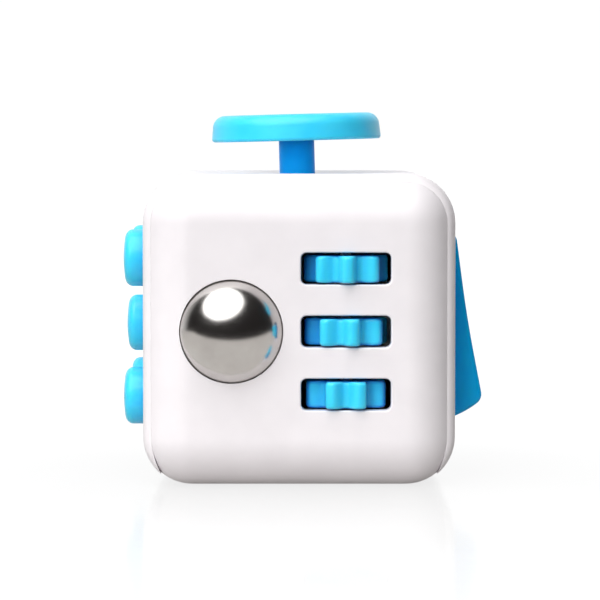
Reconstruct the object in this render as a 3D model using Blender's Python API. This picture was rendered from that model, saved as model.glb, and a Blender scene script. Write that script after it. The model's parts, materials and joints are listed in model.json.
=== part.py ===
"""Fidget cube: a rounded case with a joystick, buttons, a rocker, rollers, a ball and a dial.

Every dimension below is in millimetres and becomes metres when its mesh is made.
X runs to the rocker side, -X to the button side, -Y to the roller side and +Z to the joystick.
The origin is the centre of the case's base.
"""

import math

import bmesh
import bpy
from mathutils import Matrix, Vector

MM = 0.001

# Case
BODY = 33.0
HALF = BODY / 2
MID = BODY / 2
EDGE_RADIUS = 5.2
EDGE_STEPS = 6
WALL = 2.0
CAVITY_HALF = HALF - WALL
CAVITY_FLOOR = 3.6
CAVITY_CEILING = 29.2
CAVITY_RADIUS = 1.5
SEAM_INSET = 0.9
SEAM_GAP = 0.1
SEAM_END = 50.0
SEAM_END_GAP = 0.5
SKIN_FRONT = 14.3
SKIN_EDGE = 0.9
SKIN_STEPS = 3
LAP_WIDTH = 11.3
LAP_FLOOR = 5.45
TOP_DISH_RADIUS = 13.1
TOP_DISH_DEPTH = 1.9
BASE_DISH_RADIUS = 10.5
BASE_DISH_DEPTH = 2.0
OVER = 1.0

# Rollers: three lobed wheels on one upright axle
ROLLER_X = 4.93
ROLLER_Y = -13.1
ROLLER_PITCH = 6.6
ROLLER_NAMES = ("bottom", "middle", "top")
ROLLER_TURNS = (22.3, 11.3, 3.0)
LOBES = 8
LOBE_TIP = 4.45
LOBE_ROOT = 3.25
LOBE_POINTS = 8
ROLLER_HEIGHT = 2.9
ROLLER_EDGE = 0.4
WINDOW_WIDTH = 9.44
WINDOW_HEIGHT = 3.35
AXLE_RADIUS = 0.75
AXLE_LOW = 7.05
AXLE_HIGH = 26.05
EAR_LOW = 7.2
EAR_HIGH = 25.9
EAR_THICK = 1.0
BRACKET_FRONT = -8.2
BRACKET_BACK = -7.2
BRACKET_HALF_WIDTH = 2.4
BRACKET_SCREWS = (5.6, 27.5)

# Ball in its sprung cup
BALL_X = -7.1
BALL_Y = -13.7
BALL_RADIUS = 6.0
BALL_GAP = 0.12
CUP_RADIUS = 4.05
CUP_BACK = -7.0
SLEEVE_FRONT = -8.35
SLEEVE_RADIUS = 5.0
SLEEVE_BORE = 4.2
SLEEVE_STEP = -5.9
SLEEVE_END = -2.6
BALL_SCREW_OFFSET = 8.3

# Buttons, laid out like the five on a die
BUTTON_RADIUS = 3.05
BUTTON_PROUD = 2.3
BUTTON_EDGE = 1.0
BUTTON_HOLE = 3.3
BUTTON_OFFSET = 7.4
BUTTON_FLANGE = 3.75
BUTTON_STEM = 1.1
BUTTON_LAYOUT = (
    ("front_top", -1, 1, True),
    ("front_bottom", -1, -1, True),
    ("centre", 0, 0, True),
    ("back_top", 1, 1, False),
    ("back_bottom", 1, -1, False),
)
PLATE_OUTER = -11.5
PLATE_INNER = -10.4
PLATE_SCREW_OFFSET = 8.7

# Joystick on a gimbal
DISC_RADIUS = 9.17
DISC_BOTTOM = 36.5
DISC_TOP = 39.35
DISC_TOP_EDGE = 1.0
DISC_BOTTOM_EDGE = 0.35
STEM_RADIUS = 1.94
STEM_HOLE = 3.3
PIVOT_Z = 25.6
SWIVEL_RADIUS = 3.4
STICK_LEAN = -1.5
TRUNNION = 0.6
RING_INNER = 3.9
RING_OUTER = 5.0
CAGE_INNER = 5.3
CAGE_OUTER = 6.0
CAGE_BOTTOM = 21.2
CAGE_TOP = 29.05
CAGE_SCREW_X = 7.5

# Rocker
ROCKER_PIVOT_X = 12.8
ROCKER_TILT = 9.2
ROCKER_HOLLOW = 1.7
ROCKER_FACE = 5.45
ROCKER_END_RADIUS = 10.7
ROCKER_CORNER = 1.3
ROCKER_HALF_WIDTH = 5.0
ROCKER_GAP = 0.2
HOUSING_BACK = 9.0
HOUSING_SCREW_Y = 8.5

# Dial
DIAL_RADIUS = 11.0
DIAL_RECESS = 0.8
DIAL_INNER = 16.05
DIAL_OUTER = 18.8
CASE_SCREW_X = 5.2
CASE_SCREW_Z = 24.3


def clear_scene():
    """Start from nothing."""
    for old in list(bpy.data.objects):
        bpy.data.objects.remove(old, do_unlink=True)


def material(name, colour, roughness, metallic=0.0):
    """One principled material."""
    made = bpy.data.materials.new(name)
    made.use_nodes = True
    shader = made.node_tree.nodes["Principled BSDF"]
    shader.inputs["Base Color"].default_value = (*colour, 1.0)
    shader.inputs["Roughness"].default_value = roughness
    shader.inputs["Metallic"].default_value = metallic
    return made


def finish_mesh(name, bm, finish, origin=(0, 0, 0), lean=0.0):
    """Turn a mesh drawn in millimetres into an object whose origin is the given point."""
    bmesh.ops.recalc_face_normals(bm, faces=bm.faces)
    centre = Vector(origin)
    bmesh.ops.translate(bm, verts=bm.verts, vec=-centre)
    if lean:
        turn = Matrix.Rotation(math.radians(lean), 3, "Y")
        bmesh.ops.rotate(bm, verts=bm.verts, cent=(0, 0, 0), matrix=turn)
    bmesh.ops.scale(bm, verts=bm.verts, vec=(MM, MM, MM))
    mesh = bpy.data.meshes.new(name)
    bm.to_mesh(mesh)
    bm.free()
    mesh.shade_smooth()
    mesh.set_sharp_from_angle(angle=math.radians(35))
    made = bpy.data.objects.new(name, mesh)
    made.location = centre * MM
    bpy.context.scene.collection.objects.link(made)
    if finish is not None:
        mesh.materials.append(finish)
    return made


def place(axis, along, across, up):
    """A point from its distance along an axis and its two other coordinates, in X, Y, Z order."""
    if axis == "X":
        return (along, across, up)
    if axis == "Y":
        return (across, along, up)
    return (across, up, along)


def turned(name, profile, axis, centre, finish, steps=24, ring=False, origin=(0, 0, 0), lean=0.0):
    """A lathe-turned body: profile points are (radius, distance along the axis)."""
    bm = bmesh.new()
    rows = []
    for radius, along in profile:
        if radius <= 0:
            rows.append([bm.verts.new(place(axis, along, *centre))])
            continue
        row = []
        for k in range(steps):
            a = 2 * math.pi * k / steps
            across = centre[0] + radius * math.cos(a)
            up = centre[1] + radius * math.sin(a)
            row.append(bm.verts.new(place(axis, along, across, up)))
        rows.append(row)
    pairs = list(zip(rows, rows[1:]))
    if ring:
        pairs.append((rows[-1], rows[0]))
    for low, high in pairs:
        for k in range(steps):
            j = (k + 1) % steps
            if len(low) == 1:
                bm.faces.new((low[0], high[k], high[j]))
            elif len(high) == 1:
                bm.faces.new((low[k], high[0], low[j]))
            else:
                bm.faces.new((low[k], high[k], high[j], low[j]))
    return finish_mesh(name, bm, finish, origin, lean)


def arc(radius_at, along_at, radius, start, end, steps):
    """Points of a circular arc in the profile plane, angles in degrees from the radial direction."""
    points = []
    for k in range(steps + 1):
        a = math.radians(start + (end - start) * k / steps)
        points.append((radius_at + radius * math.cos(a), along_at + radius * math.sin(a)))
    return points


def rod(name, axis, centre, radius, low, high, finish=None, steps=16, **more):
    """A plain cylinder."""
    profile = [(0, low), (radius, low), (radius, high), (0, high)]
    return turned(name, profile, axis, centre, finish, steps, **more)


def block(name, low, high, finish=None, radius=0.0, steps=1, **more):
    """A box between two corners, its edges rounded or chamfered by radius."""
    bm = bmesh.new()
    bmesh.ops.create_cube(bm, size=1.0)
    size = [high[i] - low[i] for i in range(3)]
    middle = [(high[i] + low[i]) / 2 for i in range(3)]
    bmesh.ops.scale(bm, verts=bm.verts, vec=size)
    bmesh.ops.translate(bm, verts=bm.verts, vec=middle)
    if radius > 0:
        bmesh.ops.bevel(
            bm,
            geom=list(bm.edges),
            offset=radius,
            offset_type="OFFSET",
            segments=steps,
            profile=0.5,
            affect="EDGES",
        )
    return finish_mesh(name, bm, finish, **more)


def extruded(name, outline, axis, low, high, finish=None, **more):
    """A flat outline of (across, up) points pushed along an axis."""
    bm = bmesh.new()
    near = [bm.verts.new(place(axis, low, *p)) for p in outline]
    far = [bm.verts.new(place(axis, high, *p)) for p in outline]
    bm.faces.new(near)
    bm.faces.new(far)
    count = len(outline)
    for k in range(count):
        j = (k + 1) % count
        bm.faces.new((near[k], near[j], far[j], far[k]))
    return finish_mesh(name, bm, finish, **more)


def lofted(name, layers, axis, finish=None, **more):
    """Outlines of equal point count, each at its own distance along an axis, joined into one body."""
    bm = bmesh.new()
    rows = [[bm.verts.new(place(axis, along, *p)) for p in outline] for outline, along in layers]
    count = len(rows[0])
    for low, high in zip(rows, rows[1:]):
        for k in range(count):
            j = (k + 1) % count
            bm.faces.new((low[k], low[j], high[j], high[k]))
    bm.faces.new(rows[0])
    bm.faces.new(rows[-1])
    return finish_mesh(name, bm, finish, **more)


def coil(name, axis, centre, radius, wire, low, high, turns, finish):
    """A coil spring with flat cut ends."""
    steps = 10
    sides = 5
    count = int(turns * steps)
    bm = bmesh.new()
    rings = []
    for i in range(count + 1):
        a = 2 * math.pi * i / steps
        along = low + wire + (high - low - 2 * wire) * i / count
        ring = []
        for s in range(sides):
            b = 2 * math.pi * s / sides
            r = radius + wire * math.cos(b)
            across = centre[0] + r * math.cos(a)
            up = centre[1] + r * math.sin(a)
            ring.append(bm.verts.new(place(axis, along + wire * math.sin(b), across, up)))
        rings.append(ring)
    for low_ring, high_ring in zip(rings, rings[1:]):
        for s in range(sides):
            t = (s + 1) % sides
            bm.faces.new((low_ring[s], low_ring[t], high_ring[t], high_ring[s]))
    bm.faces.new(rings[0])
    bm.faces.new(rings[-1])
    return finish_mesh(name, bm, finish)


def combine(target, tools, operation):
    """Apply a group of hidden tool bodies to a target in one exact Boolean."""
    name = f"{target.name}_{operation.lower()}_{len(target.modifiers)}"
    group = bpy.data.collections.new(name)
    bpy.context.scene.collection.children.link(group)
    for tool in tools:
        tool.hide_render = True
        tool.display_type = "WIRE"
        bpy.context.scene.collection.objects.unlink(tool)
        group.objects.link(tool)
    step = target.modifiers.new(name, "BOOLEAN")
    step.operation = operation
    step.solver = "EXACT"
    step.operand_type = "COLLECTION"
    step.collection = group


def cut(target, *tools):
    combine(target, tools, "DIFFERENCE")


def keep_inside(target, tool):
    combine(target, [tool], "INTERSECT")


def fuse(target, *tools):
    combine(target, tools, "UNION")


def screw(name, axis, centre, seat, head_side, length, finish, head=1.3, thick=0.75, shank=0.6):
    """A pan-head screw: seat is the underside of its head, head_side is +1 or -1 along the axis."""
    top = seat + head_side * thick
    profile = [
        (0, top - head_side * 0.35),
        (0.4, top - head_side * 0.2),
        (0.45, top),
        (head - 0.25, top),
        (head, top - head_side * 0.25),
        (head, seat),
        (shank, seat),
        (shank, seat - head_side * (length - 0.5)),
        (0, seat - head_side * length),
    ]
    return turned(name, profile, axis, centre, finish, steps=10)


def spherical_dish(name, axis, centre, face, radius, depth, outward, steps=36):
    """A lens-shaped cutter for a shallow round dish in a face."""
    sphere = (radius * radius + depth * depth) / (2 * depth)
    middle = face + outward * (sphere - depth)
    profile = [(0, face - outward * depth)]
    rings = 4
    for k in range(1, rings + 1):
        r = radius * k / rings
        profile.append((r, middle - outward * math.sqrt(sphere * sphere - r * r)))
    profile.append((radius + 0.4, face + outward * 0.25))
    profile.append((radius + 0.4, face + outward * OVER))
    profile.append((0, face + outward * OVER))
    return turned(name, profile, axis, centre, None, steps)


def rounded_case(name, finish):
    low = (-HALF, -HALF, 0)
    high = (HALF, HALF, BODY)
    return block(name, low, high, finish, radius=EDGE_RADIUS, steps=EDGE_STEPS)


def rounded_skin(name, finish):
    """The case's outline from front to back, with both rims rounded over."""
    layers = []
    for side_y in (-1, 1):
        rim = []
        for k in range(SKIN_STEPS + 1):
            a = math.radians(90 * k / SKIN_STEPS)
            inset = SKIN_EDGE * (1 - math.sin(a))
            along = side_y * (SKIN_FRONT - SKIN_EDGE * (1 - math.cos(a)))
            side = HALF - inset
            radius = EDGE_RADIUS - inset
            rim.append((rounded_outline(-side, inset, side, BODY - inset, radius, EDGE_STEPS), along))
        layers += rim if side_y < 0 else list(reversed(rim))
    return lofted(name, layers, "Y", finish)


def cavity(name):
    low = (-CAVITY_HALF, -CAVITY_HALF, CAVITY_FLOOR)
    high = (CAVITY_HALF, CAVITY_HALF, CAVITY_CEILING)
    return block(name, low, high, None, radius=CAVITY_RADIUS, steps=3)


def seam_outline(inset, end, top=None):
    """Where the two shells part, seen from the front: it follows the case's outline at an inset.

    Below the lower corners it turns outwards at the angle end, so the base stays inside.
    With top given, the outline stops at that height.
    """
    centre = HALF - EDGE_RADIUS
    radius = EDGE_RADIUS - inset
    reach = EDGE_RADIUS + 2 * OVER
    step = 90 / EDGE_STEPS
    start = math.radians(-end)
    half = [(HALF + OVER, -OVER)]
    half.append((centre + reach * math.cos(start), EDGE_RADIUS + reach * math.sin(start)))
    half.append((centre + radius * math.cos(start), EDGE_RADIUS + radius * math.sin(start)))
    for k in range(int(end / step), -1, -1):
        a = math.radians(-k * step)
        half.append((centre + radius * math.cos(a), EDGE_RADIUS + radius * math.sin(a)))
    if top is None:
        for k in range(EDGE_STEPS + 1):
            a = math.radians(k * step)
            half.append((centre + radius * math.cos(a), BODY - EDGE_RADIUS + radius * math.sin(a)))
    else:
        half.append((centre + radius, top))
    return half + [(-x, z) for x, z in reversed(half)]


def front_shell(finish):
    """The U-shaped half of the case: roller face, base and dial face."""
    far = HALF + OVER
    gap = SEAM_GAP / 2
    shell = rounded_case("front_shell", finish)
    lap = LAP_WIDTH + gap
    outline = seam_outline(SEAM_INSET + gap, SEAM_END + SEAM_END_GAP)
    keep_inside(shell, extruded("front_outline", outline, "Y", -far, far))
    cut(
        shell,
        cavity("front_shell_cavity"),
        block("front_lap", (-far, -lap, LAP_FLOOR - gap), (far, lap, BODY + OVER)),
    )

    posts = []
    for k, z in enumerate(BRACKET_SCREWS):
        ends = (-CAVITY_HALF - 0.6, BRACKET_FRONT - 0.1)
        posts.append(rod(f"bracket_post_{k}", "Y", (ROLLER_X, z), 1.3, *ends, steps=12))
    for k, side_z in enumerate((-1, 1)):
        z = MID + side_z * BALL_SCREW_OFFSET
        ends = (-CAVITY_HALF - 0.6, SLEEVE_FRONT - 0.1)
        posts.append(rod(f"ball_post_{k}", "Y", (BALL_X, z), 1.5, *ends, steps=12))
    posts.append(rod("dial_post", "Y", (0, MID), 2.2, 11.8, CAVITY_HALF + 0.6, steps=16))
    fuse(shell, *posts)

    holes = [spherical_dish("base_dish", "Z", (0, 0), 0, BASE_DISH_RADIUS, BASE_DISH_DEPTH, -1)]
    seat = BALL_RADIUS + BALL_GAP
    rim = arc(0, BALL_Y, seat, -40, 5, 5)
    profile = [(0, rim[0][1])] + rim + [(0, rim[-1][1])]
    holes.append(turned("ball_hole", profile, "Y", (BALL_X, MID), None, steps=36))
    for k, name in enumerate(ROLLER_NAMES):
        z = MID + (k - 1) * ROLLER_PITCH
        low = (ROLLER_X - WINDOW_WIDTH / 2, -far, z - WINDOW_HEIGHT / 2)
        high = (ROLLER_X + WINDOW_WIDTH / 2, -CAVITY_HALF + OVER, z + WINDOW_HEIGHT / 2)
        outline = rounded_outline(low[0], low[2], high[0], high[2], 0.6, 2)
        holes.append(extruded(f"window_{name}", outline, "Y", low[1], high[1]))
    for k, z in enumerate(BRACKET_SCREWS):
        holes.append(rod(f"bracket_pilot_{k}", "Y", (ROLLER_X, z), 0.65, -12.8, -7.5, steps=12))
    for k, side_z in enumerate((-1, 1)):
        z = MID + side_z * BALL_SCREW_OFFSET
        holes.append(rod(f"ball_pilot_{k}", "Y", (BALL_X, z), 0.65, -13.0, -8.0, steps=12))
    floor = HALF - DIAL_RECESS
    radius = DIAL_RADIUS + 0.25
    profile = [(0, 11.0), (0.95, 11.0), (0.95, floor), (radius, floor), (radius, far), (0, far)]
    holes.append(turned("dial_recess", profile, "Y", (0, MID), None, steps=40))
    for k, side_x in enumerate((-1, 1)):
        centre = (side_x * CASE_SCREW_X, CASE_SCREW_Z)
        profile = [(0, 13.7), (0.75, 13.7), (0.75, 15.0), (1.5, 15.0), (1.5, far - 0.4), (0, far - 0.4)]
        holes.append(turned(f"case_hole_{k}", profile, "Y", centre, None, steps=16))
    cut(shell, *holes)
    return shell


def side_shell(finish):
    """The bridge-shaped half of the case: button face, joystick face and rocker face."""
    far = HALF + OVER
    gap = SEAM_GAP / 2
    lap = LAP_WIDTH - gap
    inset = SEAM_INSET - gap
    end = SEAM_END - SEAM_END_GAP
    shell = rounded_skin("side_shell", finish)
    whole = seam_outline(inset, end)
    lower = seam_outline(inset, end, LAP_FLOOR + gap)
    cut(
        shell,
        cavity("side_shell_cavity"),
        extruded("side_trim_front", whole, "Y", -far, -lap),
        extruded("side_trim_back", whole, "Y", lap, far),
        extruded("side_trim_base", lower, "Y", -far, far),
    )
    posts = []
    for k, side_z in enumerate((-1, 1)):
        centre = (0, MID + side_z * PLATE_SCREW_OFFSET)
        ends = (-CAVITY_HALF - 0.6, PLATE_OUTER - 0.1)
        posts.append(rod(f"plate_post_{k}", "X", centre, 1.4, *ends, steps=12))
    for k, side_y in enumerate((-1, 1)):
        centre = (side_y * HOUSING_SCREW_Y, MID)
        posts.append(rod(f"housing_post_{k}", "X", centre, 1.4, 10.1, CAVITY_HALF + 0.6, steps=12))
    for k, side_x in enumerate((-1, 1)):
        x = side_x * CASE_SCREW_X
        low = CASE_SCREW_Z - 1.9
        step = CAVITY_CEILING - 1.2
        outline = [(9.2, low), (CAVITY_HALF - 0.2, low), (CAVITY_HALF - 0.2, step)]
        outline += [(lap - 0.1, step), (lap - 0.1, step + 2.0), (9.2, step + 2.0)]
        posts.append(extruded(f"case_post_{k}", outline, "X", x - 1.9, x + 1.9))
    fuse(shell, *posts)

    holes = [spherical_dish("top_dish", "Z", (0, 0), BODY, TOP_DISH_RADIUS, TOP_DISH_DEPTH, 1)]
    holes.append(rod("stem_hole", "Z", (0, 0), STEM_HOLE, CAVITY_CEILING - OVER, BODY - 0.3, steps=32))
    for name, side_y, side_z, _ in BUTTON_LAYOUT:
        centre = (side_y * BUTTON_OFFSET, MID + side_z * BUTTON_OFFSET)
        holes.append(rod(f"button_hole_{name}", "X", centre, BUTTON_HOLE, -far, -13.9, steps=24))
    radius = ROCKER_END_RADIUS + ROCKER_GAP
    width = ROCKER_HALF_WIDTH + ROCKER_GAP
    opening = []
    for k in range(17):
        a = math.radians(96 - 12 * k)
        opening.append((ROCKER_PIVOT_X + radius * math.cos(a), MID + radius * math.sin(a)))
    holes.append(extruded("rocker_opening", opening, "Y", -width, width))
    for k, side_z in enumerate((-1, 1)):
        centre = (0, MID + side_z * PLATE_SCREW_OFFSET)
        holes.append(rod(f"plate_pilot_{k}", "X", centre, 0.65, -14.2, -11.0, steps=12))
    for k, side_y in enumerate((-1, 1)):
        centre = (side_y * HOUSING_SCREW_Y, MID)
        holes.append(rod(f"housing_pilot_{k}", "X", centre, 0.65, 9.5, 13.2, steps=12))
    for k, side_x in enumerate((-1, 1)):
        centre = (side_x * CASE_SCREW_X, CASE_SCREW_Z)
        holes.append(rod(f"case_pilot_{k}", "Y", centre, 0.65, 10.2, 15.2, steps=12))
        centre = (side_x * CAGE_SCREW_X, 0)
        holes.append(rod(f"cage_pilot_{k}", "Z", centre, 0.65, 28.6, 30.9, steps=12))
    cut(shell, *holes)
    return shell


def rounded_outline(x0, y0, x1, y1, radius, steps):
    """A rectangle's outline with round corners."""
    corners = ((x1 - radius, y1 - radius, 0), (x0 + radius, y1 - radius, 90))
    corners += ((x0 + radius, y0 + radius, 180), (x1 - radius, y0 + radius, 270))
    points = []
    for cx, cy, start in corners:
        for k in range(steps + 1):
            a = math.radians(start + 90 * k / steps)
            points.append((cx + radius * math.cos(a), cy + radius * math.sin(a)))
    return points


def lobe_radius(angle):
    """The wheel's outline: a row of rounded lobes with steep sides."""
    wave = math.cos(LOBES * angle)
    shaped = wave * (1.35 - 0.35 * wave * wave)
    return (LOBE_TIP + LOBE_ROOT) / 2 + (LOBE_TIP - LOBE_ROOT) / 2 * shaped


def roller(name, z, turn, finish):
    """One lobed wheel with its axle bore."""
    bm = bmesh.new()
    half = ROLLER_HEIGHT / 2
    bore = AXLE_RADIUS + 0.1
    layers = (
        (None, -half),
        (ROLLER_EDGE, -half),
        (0.0, -half + ROLLER_EDGE),
        (0.0, half - ROLLER_EDGE),
        (ROLLER_EDGE, half),
        (None, half),
    )
    count = LOBES * LOBE_POINTS
    rows = []
    for inset, height in layers:
        row = []
        for k in range(count):
            angle = 2 * math.pi * k / count
            radius = bore if inset is None else lobe_radius(angle) - inset
            # The first lobe faces -Y, turned on towards +X.
            heading = angle + math.radians(turn)
            x = ROLLER_X + radius * math.sin(heading)
            y = ROLLER_Y - radius * math.cos(heading)
            row.append(bm.verts.new((x, y, z + height)))
        rows.append(row)
    for low, high in zip(rows, rows[1:] + rows[:1]):
        for k in range(count):
            j = (k + 1) % count
            bm.faces.new((low[k], high[k], high[j], low[j]))
    return finish_mesh(name, bm, finish, origin=(ROLLER_X, ROLLER_Y, z))


def roller_set(blue, steel, inner):
    """Wheels, axle, spacers and the bracket that carries them."""
    centre = (ROLLER_X, ROLLER_Y)
    for k, name in enumerate(ROLLER_NAMES):
        roller(f"roller_{name}", MID + (k - 1) * ROLLER_PITCH, ROLLER_TURNS[k], blue)
    ends = [(0, AXLE_LOW), (AXLE_RADIUS, AXLE_LOW), (AXLE_RADIUS, AXLE_HIGH), (0, AXLE_HIGH)]
    turned("roller_axle", ends, "Z", centre, steel, steps=16)
    for k, name in enumerate(("lower", "upper")):
        low = MID + (k - 1) * ROLLER_PITCH + ROLLER_HEIGHT / 2 + 0.15
        high = MID + k * ROLLER_PITCH - ROLLER_HEIGHT / 2 - 0.15
        bore = AXLE_RADIUS + 0.1
        profile = [(bore, low), (1.25, low), (1.25, high), (bore, high)]
        turned(f"roller_spacer_{name}", profile, "Z", centre, inner, steps=16, ring=True)
    low = (ROLLER_X - BRACKET_HALF_WIDTH, BRACKET_FRONT, 4.4)
    high = (ROLLER_X + BRACKET_HALF_WIDTH, BRACKET_BACK, 28.7)
    bracket = block("roller_bracket", low, high, inner, radius=0.15)
    ears = []
    holes = []
    for k, z in enumerate((EAR_LOW, EAR_HIGH - EAR_THICK)):
        low = (ROLLER_X - 2.0, -14.2, z)
        high = (ROLLER_X + 2.0, BRACKET_FRONT + 0.4, z + EAR_THICK)
        ears.append(block(f"bracket_ear_{k}", low, high))
        holes.append(rod(f"ear_bore_{k}", "Z", centre, AXLE_RADIUS + 0.05, z - 0.5, z + 1.5))
    for k, z in enumerate(BRACKET_SCREWS):
        holes.append(rod(f"bracket_hole_{k}", "Y", (ROLLER_X, z), 0.75, -9.0, -6.0, steps=12))
        name = ("lower", "upper")[k]
        screw(f"bracket_screw_{name}", "Y", (ROLLER_X, z), BRACKET_BACK + 0.05, 1, 4.8, steel, head=1.15)
    fuse(bracket, *ears)
    cut(bracket, *holes)


def ball_set(chrome, steel, inner):
    """Ball, cup, spring and sleeve."""
    centre = (BALL_X, MID)
    profile = [(0, BALL_Y - BALL_RADIUS)]
    profile += arc(0, BALL_Y, BALL_RADIUS, -77, 77, 11)
    profile += [(0, BALL_Y + BALL_RADIUS)]
    origin = (BALL_X, BALL_Y, MID)
    turned("roller_ball", profile, "Y", centre, chrome, steps=28, origin=origin)

    seat = BALL_RADIUS + 0.1
    rim = math.degrees(math.acos(CUP_RADIUS / seat))
    profile = [(0, BALL_Y + seat)]
    profile += list(reversed(arc(0, BALL_Y, seat, rim, 84, 5)))
    profile += [(CUP_RADIUS, CUP_BACK), (0, CUP_BACK)]
    turned("ball_cup", profile, "Y", centre, inner, steps=24, origin=origin)

    coil("ball_spring", "Y", centre, 1.9, 0.2, CUP_BACK + 0.05, SLEEVE_END - 0.85, 3.5, steel)

    profile = [
        (SLEEVE_BORE, SLEEVE_FRONT),
        (SLEEVE_RADIUS, SLEEVE_FRONT),
        (SLEEVE_RADIUS, SLEEVE_STEP + 0.7),
        (3.2, SLEEVE_STEP + 0.7),
        (3.2, SLEEVE_END),
        (0, SLEEVE_END),
        (0, SLEEVE_END - 0.8),
        (2.5, SLEEVE_END - 0.8),
        (2.5, SLEEVE_STEP),
        (SLEEVE_BORE, SLEEVE_STEP),
    ]
    start = profile[6:] + profile[:6]
    sleeve = turned("ball_sleeve", start, "Y", centre, inner, steps=24)
    lugs = []
    holes = []
    for k, side_z in enumerate((-1, 1)):
        z = MID + side_z * BALL_SCREW_OFFSET
        inner_z = MID + side_z * (SLEEVE_BORE + 0.4)
        outer_z = z + side_z * 1.5
        low = (BALL_X - 1.7, SLEEVE_FRONT, min(inner_z, outer_z))
        high = (BALL_X + 1.7, SLEEVE_FRONT + 1.0, max(inner_z, outer_z))
        lugs.append(block(f"sleeve_lug_{k}", low, high))
        holes.append(rod(f"sleeve_hole_{k}", "Y", (BALL_X, z), 0.75, -9.5, -7.0, steps=12))
        name = ("lower", "upper")[k]
        screw(f"ball_sleeve_screw_{name}", "Y", (BALL_X, z), SLEEVE_FRONT + 1.05, 1, 4.5, steel)
    fuse(sleeve, *lugs)
    cut(sleeve, *holes)


def button_set(blue, steel, rubber, inner):
    """Five caps, the domes or pads under them, and the plate behind."""
    back = -14.3
    flange_back = -13.5
    tip = -12.55
    front = -HALF - BUTTON_PROUD
    for name, side_y, side_z, clicks in BUTTON_LAYOUT:
        centre = (side_y * BUTTON_OFFSET, MID + side_z * BUTTON_OFFSET)
        profile = [(0, front)]
        for k in range(4):
            a = math.radians(90 * k / 3)
            radius = BUTTON_RADIUS - BUTTON_EDGE + BUTTON_EDGE * math.sin(a)
            profile.append((radius, front + BUTTON_EDGE - BUTTON_EDGE * math.cos(a)))
        profile += [
            (BUTTON_RADIUS, back),
            (BUTTON_FLANGE, back),
            (BUTTON_FLANGE, flange_back),
            (BUTTON_STEM, flange_back),
            (BUTTON_STEM, tip),
            (0, tip),
        ]
        origin = (back, *centre)
        turned(f"button_{name}", profile, "X", centre, blue, steps=20, origin=origin)
        if clicks:
            profile = [(0, -12.4), (1.1, -12.3), (1.9, -11.9), (2.2, -11.55)]
            profile += [(1.95, -11.55), (1.75, -11.75), (1.0, -12.12), (0, -12.2)]
            turned(f"click_dome_{name}", profile, "X", centre, steel, steps=16)
        else:
            profile = [(0, -12.45), (1.2, -12.45), (1.5, -12.2), (1.7, -11.55), (0, -11.55)]
            turned(f"quiet_pad_{name}", profile, "X", centre, rubber, steps=16)

    outline = [
        (-9.9, 5.8),
        (11.0, 5.8),
        (11.0, 27.2),
        (-9.9, 27.2),
        (-9.9, 21.3),
        (-4.9, 21.3),
        (-4.9, 11.7),
        (-9.9, 11.7),
    ]
    plate = extruded("button_plate", outline, "X", PLATE_OUTER, PLATE_INNER, inner)
    holes = []
    for k, side_z in enumerate((-1, 1)):
        centre = (0, MID + side_z * PLATE_SCREW_OFFSET)
        holes.append(rod(f"plate_hole_{k}", "X", centre, 0.75, -12.5, -9.5, steps=12))
        name = ("lower", "upper")[k]
        screw(f"plate_screw_{name}", "X", centre, PLATE_INNER + 0.05, 1, 3.7, steel)
    cut(plate, *holes)


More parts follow.
